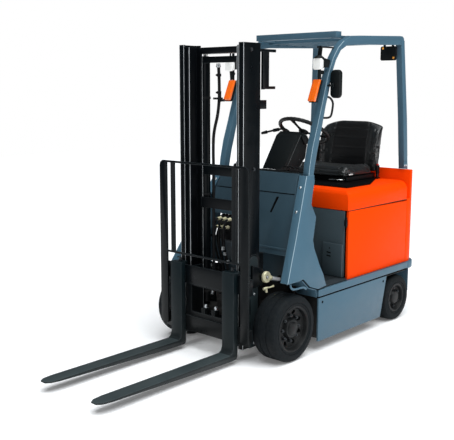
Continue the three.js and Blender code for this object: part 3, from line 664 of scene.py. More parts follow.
# ---------------------------------------------------- tilt cylinders, bright
for s, sx in SIDES:
    refine("tilt_rod_" + s, "zinc", 1.2)
    L = math.hypot(273, 82)
    u = (-273 / L, 82 / L)
    def at(d, x=310):
        return P(sx * x, 240 + u[0] * d, 448 + u[1] * d)
    bm = bmesh.new()
    add_cyl(bm, at(L - 215), at(L - 40), 0.01235, 32)
    emit("tilt_rod_chrome_" + s, bm, "chrome_light", "tilt_rod_" + s, 0.4, 1, 30, (), "bright_steel")
    bm = bmesh.new()
    e = P(sx * 310, -33, 530)
    add_lathe(bm, [(13, 9.5), (18, 12.5), (33, 12.5), (37, 9), (37, -8), (33, -10.5), (18, -10.5), (13, -8)], e, (sx, 0, 0), 40)
    add_cyl(bm, at(L - 52), at(L - 26), 0.0165, 24)
    add_box(bm, sx * 303 if sx > 0 else -317, sx * 317 if sx > 0 else -303, -40, -6, 494, 508)
    emit("tilt_rod_eye_" + s, bm, "zinc", "tilt_rod_" + s, 1.5, 2, 30, (), "bright_steel")
    bm = bmesh.new()
    add_lathe(bm, [(0, 16), (22, 16), (27, 21), (27, 38), (28.5, 40), (28.5, 47), (27, 49), (27, L - 160), (28.5, L - 158), (28.5, L - 144),
                   (26, L - 142), (14.6, L - 142), (14.6, 30), (0, 30)], at(0), at(1) - at(0), 40)
    add_lathe(bm, [(9, -14), (19, -14), (21, -12), (21, 12), (19, 14), (9, 14)], at(0), (1, 0, 0), 32)
    emit("tilt_barrel_case_" + s, bm, "iron", "tilt_barrel_" + s, 0.5, 1, 30, ("tilt_barrel_" + s,), "iron_dark")
    # bleed pipe and union beside the mast's tilt ear
    bm = bmesh.new()
    add_tube(bm, smooth_path([P(sx * 331, -80, 462), P(sx * 331, -50, 466), P(sx * 331, -20, 462), P(sx * 331, 16, 464)], 5), 0.0056, 12)
    add_cyl(bm, P(sx * 331, -56, 470), P(sx * 331, -53, 436), 0.0082, 20)
    add_hex(bm, P(sx * 331, -84, 462), (0, 1, 0), 17, 12, False)
    add_hex(bm, P(sx * 331, 8, 464), (0, 1, 0), 15, 10, False)
    emit("mast_union_" + s, bm, "zinc", "mast", 0.4, 1, 35, (), "bright_steel")
    # pin keeper head on the mast ear
    bm = bmesh.new()
    add_dome(bm, P(sx * 324, -33, 530), (sx, 0, 0), 9.5, 4)
    emit("tilt_pin_head_" + s, bm, "bolt", "mast", 0, 1, 40, (), "bright_steel")

# -------------------------------------------------------------- steering
c = P(8, 755, 1425)
nrm = Vector((0, 0.5, 0.8660254))
v_ = Vector((0, -0.8660254, 0.5))
x_ = Vector((1, 0, 0))
bm = bmesh.new()
pts, rad = [], []
for i in range(144):
    a = 2 * math.pi * i / 144
    pts.append(c + (x_ * math.cos(a) + v_ * math.sin(a)) * 0.180)
    rad.append(0.0138 + 0.0007 * math.cos(36 * a))
add_tube(bm, pts, 0.0135, 16, closed=True, radii=rad)
emit("steering_rim", bm, "plastic_soft", "steering_wheel", 0, 1, 40, ("steering_wheel",), "plastic_black")
bm = bmesh.new()
add_lathe(bm, [(0, -20), (22, -20), (34, -8), (38, 0), (37, 4), (33, 7), (31, 7.2), (30, 6.2), (22, 8.5), (0, 9)], c - nrm * 0.008, nrm, 56)
for i in range(3):
    a = math.pi / 2 + i * math.pi * 2 / 3
    d = x_ * math.cos(a) + v_ * math.sin(a)
    e = nrm.cross(d)
    rows = []
    for k in range(13):
        t = k / 12
        p = c + d * (0.026 + t * 0.148) + nrm * (-0.010 + 0.010 * t * t)
        w = 0.019 - 0.008 * math.sin(math.pi * min(1, t * 1.15)) + (0.004 if k == 12 else 0)
        hgt = 0.0055
        rows.append([bm.verts.new(p + e * w * math.cos(q) + nrm * hgt * math.sin(q)) for q in [2 * math.pi * j / 14 for j in range(14)]])
    for k in range(12):
        for j in range(14):
            bm.faces.new((rows[k][j], rows[k][(j + 1) % 14], rows[k + 1][(j + 1) % 14], rows[k + 1][j]))
    bm.faces.new(list(reversed(rows[0])))
    bm.faces.new(rows[-1])
emit("steering_hub", bm, "plastic", "steering_wheel", 0, 1, 40, (), "plastic_black")

# rubber apron between the column cover and the cowl
bm = bmesh.new()
for k in range(4):
    add_box(bm, -96, 88, 337 + k * 19.5, 354 + k * 19.5, 1163.5 + (k % 2), 1169.5 + (k % 2))
add_box(bm, -93, 85, 339, 414, 1161, 1166)
emit("column_apron", bm, "hose", "steering_column", 1.2, 2, 30, (), "plastic_black")

# cover details: fold line, gauge pod, direction lever, turn lever
bm = bmesh.new()
prism(bm, [(604, 1396), (640, 1406), (672, 1398), (700, 1366), (690, 1338), (650, 1330)], 44, 102)
emit("gauge_pod", bm, "plastic", "steering_column", 9, 3, 30, (), "plastic_black")
bm = bmesh.new()
add_lathe(bm, [(0, 3), (21, 3), (24, 0), (24, -6), (0, -6)], P(73, 688, 1384), Vector((0, 0.78, 0.62)), 32)
emit("gauge_glass", bm, "clear_lens", "steering_column", 0, 1, 40, (), None)
bm = bmesh.new()
path = [P(-40, 668, 1392), P(-62, 660, 1424), P(-100, 654, 1438), P(-160, 648, 1429), P(-220, 643, 1416), P(-285, 640, 1401)]
add_tube(bm, smooth_path(path, 6), 0.0072, 14)
add_cyl(bm, P(-140, 650, 1432.5), P(-186, 645.8, 1423.5), 0.0125, 20)
add_cyl(bm, P(-246, 642, 1410.5), P(-292, 639.7, 1399.5), 0.0128, 20, 0.0092)
emit("direction_lever", bm, "plastic", "steering_column", 0.8, 2, 35, (), "plastic_black")
bm = bmesh.new()
path = [P(56, 668, 1392), P(90, 662, 1408), P(130, 656, 1414), P(176, 652, 1410)]
add_tube(bm, smooth_path(path, 6), 0.0055, 14)
add_cyl(bm, P(160, 653.5, 1411.5), P(186, 651.5, 1408.5), 0.0105, 20)
emit("turn_signal_lever", bm, "plastic", "steering_column", 0.8, 2, 35, (), "plastic_black")
bm = bmesh.new()
for x in (-97.0, 89.0):
    a, b_ = P(x, 452, 1180), P(x, 612, 1404)
    add_tube(bm, [a, a.lerp(b_, 0.5), b_], 0.0016, 8)
emit("column_cover_seams", bm, "piping", "steering_column", 0, 1, 40, (), "plastic_black")
bm = bmesh.new()
for yy, zz in ((500, 1240), (600, 1230), (560, 1330)):
    for x, sx in ((88.3, 1), (-96.3, -1)):
        add_dome(bm, P(x, yy, zz), (sx, 0, 0), 6, 2.5)
emit("column_cover_screws", bm, "bolt_dark", "steering_column", 0, 1, 40, (), "iron_dark")

# levers: knobs with collars and rubber boots
bm = bmesh.new()
for x in (-228, -185, -142):
    d = (P(x, 328, 1313) - P(x, 319, 1278)).normalized()
    add_lathe(bm, [(0, -2), (8, 0), (11, 6), (15.2, 18), (15.5, 26), (12, 34), (6, 37.5), (0, 38)], P(x, 318.5, 1276), d, 28)
    d2 = (P(x, 322, 1290) - P(x, 296, 1190)).normalized()
    prof = [(0, 0), (19, 0)]
    for i in range(4):
        prof += [(17 - i * 2.6, 4 + i * 6), (18 - i * 2.7, 7 + i * 6)]
    prof += [(8, 28), (0, 28)]
    add_lathe(bm, prof, P(x, 297.5, 1196), d2, 24)
emit("lever_knobs", bm, "plastic_soft", "chassis", 0, 1, 35, (), "plastic_black")

# -------------------------------------------------------------------- seat
def grid_pad(nx, ny, nz, fn):
    """Closed box of quads whose vertices are placed by fn(u, v, w) in 0..1."""
    bm = bmesh.new()
    vs = {}
    def g(i, j, k):
        key = (i, j, k)
        if key not in vs:
            vs[key] = bm.verts.new(fn(i / nx, j / ny, k / nz))
        return vs[key]
    for i in range(nx):
        for j in range(ny):
            bm.faces.new((g(i, j, 0), g(i, j + 1, 0), g(i + 1, j + 1, 0), g(i + 1, j, 0)))
            bm.faces.new((g(i, j, nz), g(i + 1, j, nz), g(i + 1, j + 1, nz), g(i, j + 1, nz)))
    for i in range(nx):
        for k in range(nz):
            bm.faces.new((g(i, 0, k), g(i + 1, 0, k), g(i + 1, 0, k + 1), g(i, 0, k + 1)))
            bm.faces.new((g(i, ny, k), g(i, ny, k + 1), g(i + 1, ny, k + 1), g(i + 1, ny, k)))
    for j in range(ny):
        for k in range(nz):
            bm.faces.new((g(0, j, k), g(0, j, k + 1), g(0, j + 1, k + 1), g(0, j + 1, k)))
            bm.faces.new((g(nx, j, k), g(nx, j + 1, k), g(nx, j + 1, k + 1), g(nx, j, k + 1)))
    bmesh.ops.recalc_face_normals(bm, faces=bm.faces)
    return bm


def puff(bm, voxel, pressure, cap, pin=None):
    """Cloth pressure on a remeshed copy; returns a new bmesh of the swollen pad."""
    me = bpy.data.meshes.new("pad_tmp")
    bm.to_mesh(me)
    bm.free()
    ob = link(bpy.data.objects.new("pad_tmp", me))
    rm = ob.modifiers.new("r", "REMESH")
    rm.mode = "VOXEL"
    rm.voxel_size = voxel
    dg = bpy.context.evaluated_depsgraph_get()
    me2 = bpy.data.meshes.new_from_object(ob.evaluated_get(dg))
    ob.modifiers.clear()
    ob.data = me2
    start = [v.co.copy() for v in me2.vertices]
    if pin:
        vg = ob.vertex_groups.new(name="pin")
        for v in me2.vertices:
            w = pin(v.co)
            if w > 0:
                vg.add([v.index], w, "REPLACE")
    cl = ob.modifiers.new("c", "CLOTH")
    cl.settings.quality = 4
    cl.settings.mass = 0.3
    cl.settings.tension_stiffness = 12
    cl.settings.compression_stiffness = 12
    cl.settings.shear_stiffness = 6
    cl.settings.bending_stiffness = 0.6
    cl.settings.use_pressure = True
    cl.settings.uniform_pressure_force = pressure
    cl.settings.effector_weights.gravity = 0
    cl.collision_settings.use_collision = False
    cl.collision_settings.use_self_collision = False
    if pin:
        cl.settings.vertex_group_mass = "pin"
    cl.point_cache.frame_start, cl.point_cache.frame_end = 1, 20
    for f in range(1, 21):
        bpy.context.scene.frame_set(f)
    dg = bpy.context.evaluated_depsgraph_get()
    ev = ob.evaluated_get(dg).data
    moved = [v.co.copy() for v in ev.vertices]
    ob.modifiers.clear()
    bpy.context.scene.frame_set(1)
    for v, a, b in zip(me2.vertices, start, moved):
        d = b - a
        if d.length > cap:
            d = d * (cap / d.length)
        v.co = a + d
    out = bmesh.new()
    out.from_mesh(me2)
    bpy.data.objects.remove(ob)
    for _ in range(3):
        bmesh.ops.smooth_vert(out, verts=out.verts, factor=0.5, use_axis_x=True, use_axis_y=True, use_axis_z=True)
    return out


def clamp(v, a, b):
    return max(a, min(b, v))


def groove(bm, dist, depth, width, mask=lambda p: 1.0):
    """Presses a sewn channel where dist(p) is near zero; p in truck millimetres."""
    bm.normal_update()
    mv = []
    for v in bm.verts:
        p = (v.co.x * 1000, v.co.y * 1000 + 108, v.co.z * 1000)
        w = mask(p)
        if w <= 0:
            continue
        d = dist(p)
        g = math.exp(-(d / width) ** 2) * w
        if g > 0.02:
            mv.append((v, v.normal * (-depth / 1000 * g)))
    for v, o in mv:
        v.co += o


def pad_emit(name, bm, body, replaces, hold=None):
    if hold:
        for v in bm.verts:
            v.co = hold(v.co)
    me = bpy.data.meshes.new(name)
    for f in bm.faces:
        f.smooth = True
    bm.to_mesh(me)
    bm.free()
    me.materials.append(M["vinyl"])
    ob = link(bpy.data.objects.new(name, me))
    sub = ob.modifiers.new("s", "SUBSURF")
    sub.levels = sub.render_levels = 1
    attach(ob, body)
    if replaces:
        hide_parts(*replaces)
    return ob


# seat cushion: crowned pad with raised side bolsters and a rolled front
def cushion_shape(u, v, w):
    x = -252 + 504 * u
    ax = abs(x) / 252
    y = 930 + 384 * v
    # rounded corners in plan
    cr = 1 - 0.05 * ax ** 6 * (2 * abs(v - 0.5)) ** 6
    x *= cr
    y = 1122 + (y - 1122) * (1 - 0.06 * ax ** 5)
    base = 1092
    top = 1146 - 8 * v + 13 * (1 / (1 + math.exp(-(abs(x) - 176) / 12))) + 4 * math.cos(math.pi * (v - 0.5)) * (1 - ax * ax)
    top -= 26 * clamp((0.13 - v) / 0.13, 0, 1) ** 2
    top -= 10 * clamp((ax - 0.86) / 0.14, 0, 1) ** 2
    y -= 8 * math.sin(math.pi * clamp(w, 0, 1)) * clamp((0.2 - v) / 0.2, 0, 1)
    return P(x, y, base + (top - base) * w)


bm = puff(grid_pad(48, 36, 8, cushion_shape), 0.0055, 4.0, 0.010, lambda co: 1.0 if co.z < 1.098 else 0.0)
# seams: bolster lines, the front roll and the piping line round the side
groove(bm, lambda p: abs(p[0]) - 172, 5.5, 5, lambda p: 1.0 if p[2] > 1118 and 960 < p[1] < 1325 else 0.0)
groove(bm, lambda p: p[1] - 962, 4.5, 5, lambda p: 1.0 if p[2] > 1118 else 0.0)
for yy in (1060, 1150, 1240):
    groove(bm, lambda p, yy=yy: p[1] - yy, 2.6, 7, lambda p: 1.0 if abs(p[0]) < 160 and p[2] > 1118 else 0.0)
groove(bm, lambda p: p[2] - 1112, 3.2, 4, lambda p: 1.0)
pad_emit("seat_cushion_pad", bm, "hood_lid", ("seat_cushion",),
         lambda c: Vector((clamp(c.x, -0.268, 0.268), clamp(c.y, 0.806, 1.216), clamp(c.z, 1.0886, 1.182))))


# seat back: wrap-around shell pad, taller in the middle, bolsters forward
def back_mid(t):
    """Front face line of the back (y, z) for t 0..1 from bottom to top."""
    pts = [(1352, 1104), (1358, 1180), (1366, 1260), (1378, 1340), (1394, 1420), (1412, 1478)]
    s = t * (len(pts) - 1)
    i = min(int(s), len(pts) - 2)
    f = s - i
    return (pts[i][0] * (1 - f) + pts[i + 1][0] * f, pts[i][1] * (1 - f) + pts[i + 1][1] * f)


def back_shape(u, v, w):
    x = -264 + 528 * u
    ax = abs(x) / 264
    y, z = back_mid(v)
    # shoulders fall away at the top corners
    drop = 38 * clamp((ax - 0.36) / 0.64, 0, 1) ** 1.7
    z -= drop * clamp((v - 0.45) / 0.55, 0, 1) ** 1.5
    x *= 1 - 0.02 * clamp((v - 0.5) / 0.5, 0, 1) ** 2 * ax ** 2
    x *= 1 - 0.02 * clamp((0.2 - v) / 0.2, 0, 1)
    thick = 42 + 8 * math.sin(math.pi * v)
    edge = 1 - 0.35 * clamp((ax - 0.9) / 0.1, 0, 1) ** 2
    wrap = 44 * (1 / (1 + math.exp(-(abs(x) - 196) / 15))) * clamp((0.97 - v) / 0.3, 0, 1) ** 0.6
    front = y - wrap
    backy = y + thick * edge
    top = 6 * math.sin(math.pi * w) * clamp((v - 0.85) / 0.15, 0, 1)
    return P(x, front + (backy - front) * w, z + top)


bm = puff(grid_pad(50, 42, 9, back_shape), 0.0055, 4.0, 0.009, lambda co: 1.0 if co.z < 1.108 else 0.0)
groove(bm, lambda p: abs(p[0]) - (158 - (p[2] - 1300) * 0.04), 6.0, 5, lambda p: 1.0 if p[1] < 1416 and 1100 < p[2] < 1478 else 0.0)
for zz in (1420,):
    groove(bm, lambda p, zz=zz: p[2] - zz, 4.0, 6, lambda p: 1.0 if abs(p[0]) < 158 and p[1] < 1425 else 0.0)
for zz in (1190, 1270, 1350):
    groove(bm, lambda p, zz=zz: p[2] - zz, 2.2, 8, lambda p: 1.0 if abs(p[0]) < 148 and p[1] < 1405 else 0.0)
# folds in the bolsters
groove(bm, lambda p: (p[2] - 1236) - (p[1] - 1330) * 0.7, 3.0, 9, lambda p: 1.0 if abs(p[0]) > 190 and p[1] < 1400 else 0.0)
groove(bm, lambda p: abs(p[0]) - 222 - (p[2] - 1300) * 0.06, 2.5, 7, lambda p: 1.0 if p[1] < 1380 else 0.0)
back = pad_emit("seat_back_pad", bm, "hood_lid", ("seat_back",),
         lambda c: Vector((clamp(c.x, -0.275, 0.275), clamp(c.y, 1.208, 1.356), clamp(c.z, 0.999 + 0.098, 1.4955))))

back.data.materials.append(M["vinyl_deep"])
for f in back.data.polygons:
    if abs(f.center.x) < 0.152 and f.normal.y < -0.3:
        f.material_index = 1

# slide rail, lever and belt buckle
bm = bmesh.new()
add_box(bm, 236, 250, 960, 1330, 1056, 1084)
add_box(bm, -250, -236, 960, 1330, 1056, 1084)
emit("seat_slides", bm, "plastic", "hood_lid", 2, 2, 30, (), "plastic_black")
bm = bmesh.new()
add_tube(bm, smooth_path([P(120, 950, 1066), P(120, 922, 1064), P(150, 912, 1066), P(196, 912, 1068), P(226, 924, 1068), P(232, 950, 1068)], 5), 0.005, 12)
add_box(bm, 257, 269, 958, 1010, 1102, 1112)
emit("seat_slide_lever", bm, "steel", "hood_lid", 0.6, 1, 35, (), "bright_steel")
bm = bmesh.new()
add_box(bm, 268, 286, 1318, 1352, 1086, 1150)
emit("belt_buckle", bm, "plastic", "hood_lid", 4, 3, 30, (), "plastic_black")
bm = bmesh.new()
add_box(bm, 271, 283, 1326, 1344, 1149, 1160)
emit("belt_buckle_button", bm, "red_lens", "hood_lid", 1.5, 2, 30, (), "lamp_orange")
bm = bmesh.new()
add_box(bm, 270, 284, 1322, 1350, 1056, 1090)
add_box(bm, -286, -268, 1310, 1356, 1058, 1120)
emit("belt_anchors", bm, "bolt_dark", "hood_lid", 2, 2, 30, (), "iron_dark")
bm = bmesh.new()
sp = [P(-277, 1330, 1120), P(-279, 1336, 1170), P(-277, 1344, 1230), P(-272, 1352, 1290), P(-262, 1380, 1300)]
sp = smooth_path(sp, 5)
for i, p in enumerate(sp):
    pass
prev = None
for p in sp:
    row = [bm.verts.new(p + Vector((dx, dy, 0))) for dx, dy in ((-0.0008, -0.021), (0.0008, -0.021), (0.0008, 0.021), (-0.0008, 0.021))]
    if prev:
        for k in range(4):
            bm.faces.new((prev[k], prev[(k + 1) % 4], row[(k + 1) % 4], row[k]))
    else:
        bm.faces.new(list(reversed(row)))
    prev = row
bm.faces.new(prev)
emit("belt_strap", bm, "hose", "hood_lid", 0, 1, 30, (), "vinyl_black")

# ------------------------------------------------------ lamps and mirror
for s, sx in SIDES:
    def X(x):
        return sx * x
    bm = bmesh.new()
    add_box(bm, X(371), X(384), 418, 426, 1760, 1999)
    add_box(bm, X(353), X(384), 418, 426, 1986, 1999)
    prism(bm, [(419, 1989), (419, 1999), (603, 1999), (589, 1989)], X(353), X(363))
    prism(bm, [(426, 1923), (426, 1931), (537, 1914), (531, 1904)], X(359), X(373))
    add_box(bm, X(371), X(384), 405, 426, 1757, 1774)
    emit("lamp_bracket_" + s, bm, "iron", "chassis", 1.5, 2, 30, ("lamp_cluster_" + s,), "iron_dark")
    # headlamp: moulded housing, bezel and ribbed lens
    bm = bmesh.new()
    A = rounded_rect(68, 74, 14, 6, 385, 1884)
    rings = []
    for yy, k in ((417, 0.72), (405, 0.86), (389, 1.0), (379, 1.0)):
        rings.append([bm.verts.new(P(X(385 + (x - 385) * k), yy, 1884 + (z - 1884) * k)) for x, z in A])
    n = len(A)
    for a, b in zip(rings, rings[1:]):
        for i in range(n):
            bm.faces.new((a[i], a[(i + 1) % n], b[(i + 1) % n], b[i]))
    bm.faces.new(rings[0])
    bm.faces.new(rings[-1])
    emit("headlamp_housing_" + s, bm, "clear_lens", "chassis", 1.5, 2, 30, (), "bright_steel")
    # dark cap, hangers, neck and back plate that carry the headlamp
    bm = bmesh.new()
    add_lathe(bm, [(0, -2), (33, -2), (33, 3), (24, 10), (15, 17), (0, 17)], P(X(386), 398, 1921), (0, 0, 1), 28)
    for xx in (374, 396):
        add_cyl(bm, P(X(xx), 404, 1934), P(X(xx), 414, 1994), 0.0052, 14)
    add_cyl(bm, P(X(386), 404, 1848), P(X(382), 411, 1786), 0.0105, 20, 0.014)
    prism(bm, [(419, 1858), (419, 1916), (520, 1909), (500, 1862)], X(385), X(393))
    add_lathe(bm, [(0, -14), (13, -14), (13, 12), (9, 15), (0, 15)], P(X(388), 424, 1830), (0, -1, 0), 24)
    emit("headlamp_mount_" + s, bm, "plastic", "chassis", 1.2, 2, 30, (), "plastic_black")
    bm = bmesh.new()
    B = rounded_rect(61, 67, 12, 6, 385, 1884)
    rings = []
    for yy, k in ((381, 1.0), (377, 1.0), (375.6, 0.93), (375, 0.8)):
        rings.append([bm.verts.new(P(X(385 + (x - 385) * k), yy, 1884 + (z - 1884) * k)) for x, z in B])
    for a, b in zip(rings, rings[1:]):
        for i in range(n):
            bm.faces.new((a[i], a[(i + 1) % n], b[(i + 1) % n], b[i]))
    bm.faces.new(rings[0])
    bm.faces.new(rings[-1])
    emit("headlamp_lens_" + s, bm, "clear_lens", "chassis", 0, 1, 40, (), None)
    # turn signal: slanted orange lens on a black base
    bm = bmesh.new()
    prism(bm, [(334, 1650), (340, 1643), (354, 1641), (411, 1782), (393, 1785)], X(343), X(398))
    emit("turn_signal_lens_" + s, bm, "orange_lens", "chassis", 9, 4, 30, (), "lamp_orange")
    bm = bmesh.new()
    prism(bm, [(350, 1638), (374, 1635), (432, 1779), (408, 1783)], X(343), X(397))
    add_box(bm, X(350), X(390), 340, 372, 1635, 1642)
    emit("turn_signal_base_" + s, bm, "plastic", "chassis", 3, 2, 30, (), "plastic_black")
bm = bmesh.new()
out = rounded_rect(78, 185, 28, 7, 441, 1755.5)
rings = []
for yy, k in ((501, 0.80), (503, 0.90), (510, 0.975), (520, 1.0), (531, 1.0), (532, 0.965), (529, 0.95)):
    rings.append([bm.verts.new(P(441 + (x - 441) * (1 - (1 - k) * 1.0), yy, 1755.5 + (z - 1755.5) * (1 - (1 - k) * 0.5))) for x, z in out])
n = len(out)
for a, b in zip(rings, rings[1:]):
    for i in range(n):
        bm.faces.new((a[i], a[(i + 1) % n], b[(i + 1) % n], b[i]))
bm.faces.new(rings[0])
bm.faces.new(rings[-1])
add_tube(bm, smooth_path([P(399, 486, 1745), P(410, 486, 1745), P(420, 492, 1746), P(426, 508, 1747)], 4), 0.0075, 14)
add_lathe(bm, [(0, -3), (13, -3), (15, 2), (13, 7), (0, 8)], P(424, 495, 1746.5), (0.3, 1, 0), 24)
emit("mirror_housing", bm, "plastic", "chassis", 0, 1, 35, ("mirror",), "plastic_black")
bm = bmesh.new()
g = rounded_rect(70, 176, 24, 7, 441, 1755.5)
a = [bm.verts.new(P(x, 528.5, z)) for x, z in g]
b = [bm.verts.new(P(x, 531.2, z)) for x, z in g]
bm.faces.new(a)
bm.faces.new(b)
for i in range(n):
    bm.faces.new((a[i], a[(i + 1) % n], b[(i + 1) % n], b[i]))
emit("mirror_glass", bm, "mirror", "chassis", 0, 1, 35, (), "bright_steel")

bm = bmesh.new()
add_tube(bm, smooth_path([P(*q) for q in ((374, 488, 1671), (373, 525, 1670), (372, 559, 1659), (374, 582, 1630), (378, 572, 1587), (382, 552, 1548), (384, 519, 1534), (384, 448, 1534))], 8), 0.0072, 16)
emit("grab_bar", bm, "plastic_soft", "chassis", 0, 1, 40, ("grab_handle",), "body_grey")

# rear combination lamp
bm = bmesh.new()
for x0 in (258, 328):
    add_box(bm, x0, x0 + 18, 1394, 1402, 2030, 2059.6)
prism(bm, rounded_rect(130, 104, 12, 5, 306, 1983), 1383, 1400, "xz")
emit("rear_lamp_housing", bm, "plastic", "chassis", 2, 2, 30, ("rear_lamp",), "plastic_black")
for nm, m_, z0, z1 in (("stop", "red_lens", 1988, 2030), ("turn", "amber_lens", 1958, 1985), ("reverse", "clear_lens", 1936, 1955)):
    bm = bmesh.new()
    add_box(bm, 246, 366, 1399, 1407.6, z0, z1)
    emit("rear_lamp_lens_" + nm, bm, m_, "chassis", 3, 3, 30, (), "lamp_orange")
bm = bmesh.new()
for x_c, z_c in ((262, 2020), (352, 1950)):
    add_dome(bm, P(x_c, 1383.2, z_c), (0, -1, 0), 9, 4, 20)
emit("rear_lamp_bolts", bm, "amber_lens", "chassis", 0, 1, 40, (), "bright_steel")

# -------------------------------------------------------------- mast details
hose_pts = [(-98, -40, 1886), (-98, -34, 1800), (-98, -32, 1671), (-112, -32, 1560), (-140, -30, 1470), (-158, -24, 1400), (-166, -18, 1300),
            (-168, -14, 1200), (-168, -14, 950), (-168, -14, 700), (-168, -16, 420), (-170, -30, 330)]
bm = bmesh.new()
add_tube(bm, smooth_path([P(*q) for q in hose_pts], 6), 0.0102, 16)
emit("lift_hose", bm, "hose", "mast", 0, 1, 40, ("mast_hose",), "tyre_rubber")
bm = bmesh.new()
for q0, q1 in (((-98, -40, 1886), (-98, -39, 1862)), ((-170, -30, 330), (-169.3, -25, 352))):
    add_cyl(bm, P(*q0), P(*q1), 0.0128, 20)
add_hex(bm, P(-98, -39.5, 1874), (0, 0.02, -1), 28, 12, False)
emit("hose_ferrules", bm, "bolt", "mast", 0.6, 1, 35, (), "bright_steel")
bm = bmesh.new()
for x, y, z in ((-98, -34, 1812), (-98, -32.5, 1700), (-168, -14, 1190)):
    add_lathe(bm, [(10.8, -9), (14.5, -9), (14.5, 9), (10.8, 9)], P(x, y, z), (0, 0, 1), 24)
    add_box(bm, x - 5, x + 5, -61, y - 9, z - 6, z + 6)
# clamp cluster where the hose leaves the cross bar
add_box(bm, -128, -70, -60, -26, 1655, 1668)
add_cyl(bm, P(-84, -40, 1640), P(-84, -40, 1690), 0.009, 18)
add_cyl(bm, P(-72, -40, 1650), P(-52, -30, 1650), 0.008, 18)
emit("hose_clips", bm, "iron", "mast", 0.8, 1, 35, (), "iron_dark")

for s, sx in SIDES:
    def X(x):
        return sx * x
    # thin bright strips along the rail corners: painted highlight lines
    bm = bmesh.new()
    for x, y in ((235.6, -218.6), (274.4, -218.6)):
        add_tube(bm, [P(X(x), y, 80), P(X(x), y, 700), P(X(x), y, 1400), P(X(x), y, 2000)], 0.0016 if sx > 0 else 0.0013, 8)
    emit("rail_highlights_outer_" + s, bm, "rail_highlight", "mast", 0, 1, 40, (), "bright_steel")
    bm = bmesh.new()
    for x, y in ((205.6, -199.5), (205.6, -80.5)):
        add_tube(bm, [P(X(x), y, 100), P(X(x), y, 700), P(X(x), y, 1400), P(X(x), y, 1986)], 0.0019, 8)
    emit("rail_highlights_inner_" + s, bm, "rail_highlight", "inner_mast", 0, 1, 40, (), "bright_steel")
    # gland nuts and cylinder heads
    bm = bmesh.new()
    add_lathe(bm, [(15.3, 0), (22, 0), (31.5, -3), (33, -8), (33, -34), (31, -36), (30.2, -36)] + [(15.3, -36)], P(X(210), -43, 1934), (0, 0, 1), 36)
    emit("lift_cylinder_head_" + s, bm, "iron", "mast", 0, 1, 35, (), "iron_dark")
    bm = bmesh.new()
    add_cyl(bm, P(X(210), -43, 1936), P(X(210), -43, 1949), 0.0143, 28)
    emit("lift_rod_" + s, bm, "steel", "inner_mast", 0, 1, 35, (), "bright_steel")
    bm = bmesh.new()
    for zz in (355, 1025, 1665):
        add_lathe(bm, [(30.2, -8), (33.5, -8), (33.5, 8), (30.2, 8)], P(X(210), -43, zz), (0, 0, 1), 32)
    emit("lift_cylinder_straps_" + s, bm, "iron", "mast", 0.6, 1, 35, (), "iron_dark")
    bm = bmesh.new()
    add_hex(bm, P(X(275), -150, 1960), (sx, 0, 0), 18, 8)
    add_hex(bm, P(X(275), -120, 1230), (sx, 0, 0), 18, 8)
    for zz in (1905, 1915, 1190, 115):
        add_hex(bm, P(X(228 if zz > 1300 else 226), -62 if zz != 115 else -61.5, zz), (0, 1, 0), 16, 8)
    emit("mast_bolts_" + s, bm, "bolt_dark", "mast", 0.4, 1, 30, (), "iron_dark")
    bm = bmesh.new()
    add_hex(bm, P(X(240.5), -140, 160), (sx, 0, 0), 20, 4, False)
    add_hex(bm, P(X(240.5), -140, 500), (sx, 0, 0), 20, 4, False)
    emit("carriage_roller_nuts_" + s, bm, "bolt_dark", "carriage", 0.3, 1, 30, (), "iron_dark")
bm = bmesh.new()
out = [(-167, 76), (-80, 76), (-80, 636)] + [(-123.5 + 43.5 * math.cos(math.radians(t)), 636 + 40 * math.sin(math.radians(t))) for t in range(10, 180, 10)] + [(-167, 636)]
prism(bm, out, 279.1, 280.6)
emit("mast_side_plate", bm, "plate_grey", "mast", 0.4, 1, 30, (), "mast_black")
bm = bmesh.new()
for zz in (428, 80 + 22):
    add_dome(bm, P(280.4, -114, zz), (1, 0, 0), 9, 4.5, 20)
emit("mast_plate_bolts", bm, "bolt", "mast", 0, 1, 40, (), "bright_steel")
bm = bmesh.new()
for z0, z1 in ((150, 250), (300, 400), (470, 560)):
    add_box(bm, 279.6, 281.1, -158, -152, z0, z1)
emit("mast_plate_slots", bm, "hole", "mast", 0.3, 1, 30, (), "mast_black")

# chain anchors on the carriage
bm = bmesh.new()
for x in (-45, 45):
    add_cyl(bm, P(x, -222, 232), P(x, -222, 318), 0.0075, 20)
    add_hex(bm, P(x, -222, 300), (0, 0, 1), 22, 11)
    add_hex(bm, P(x, -222, 311), (0, 0, 1), 22, 9, False)
    add_hex(bm, P(x, -222, 236), (0, 0, -1), 22, 11)
emit("chain_anchor_bolts", bm, "bolt", "carriage", 0.4, 1, 30, (), "bright_steel")

# fork latches and stops along the carriage's top bar
bm = bmesh.new()
for i in range(13):
    x = -330 + i * 55
    add_box(bm, x - 4, x + 4, -262, -257.8, 577.5, 579.4)
emit("carriage_notches", bm, "hole", "carriage", 0, 1, 30, (), "mast_black")
for s, sx in SIDES:
    bm = bmesh.new()
    add_lathe(bm, [(0, 26), (7, 26), (8, 22), (8, 6), (12, 4), (12, 0), (0, 0)], P(sx * 231, -272, 597.2), (0, 0, 1), 28)
    add_tube(bm, smooth_path([P(sx * 231, -272, 617), P(sx * (231 + 14), -272, 621), P(sx * (231 + 26), -272, 619)], 5), 0.004, 12)
    emit("fork_latch_" + s, bm, "bolt_dark", "fork_" + s, 0, 1, 35, (), "iron_dark")

# ------------------------------------------------------------ body details
def plate_x(z):
    """Outer face of the leaning side plate at height z."""
    return 521 - 0.1937 * max(0, z - 528)


def plate_y(z):
    """Front edge of the side plate at height z."""
    return 63 + (z - 775) * 0.5309 if z > 775 else -77 + (z - 523) * 0.5556


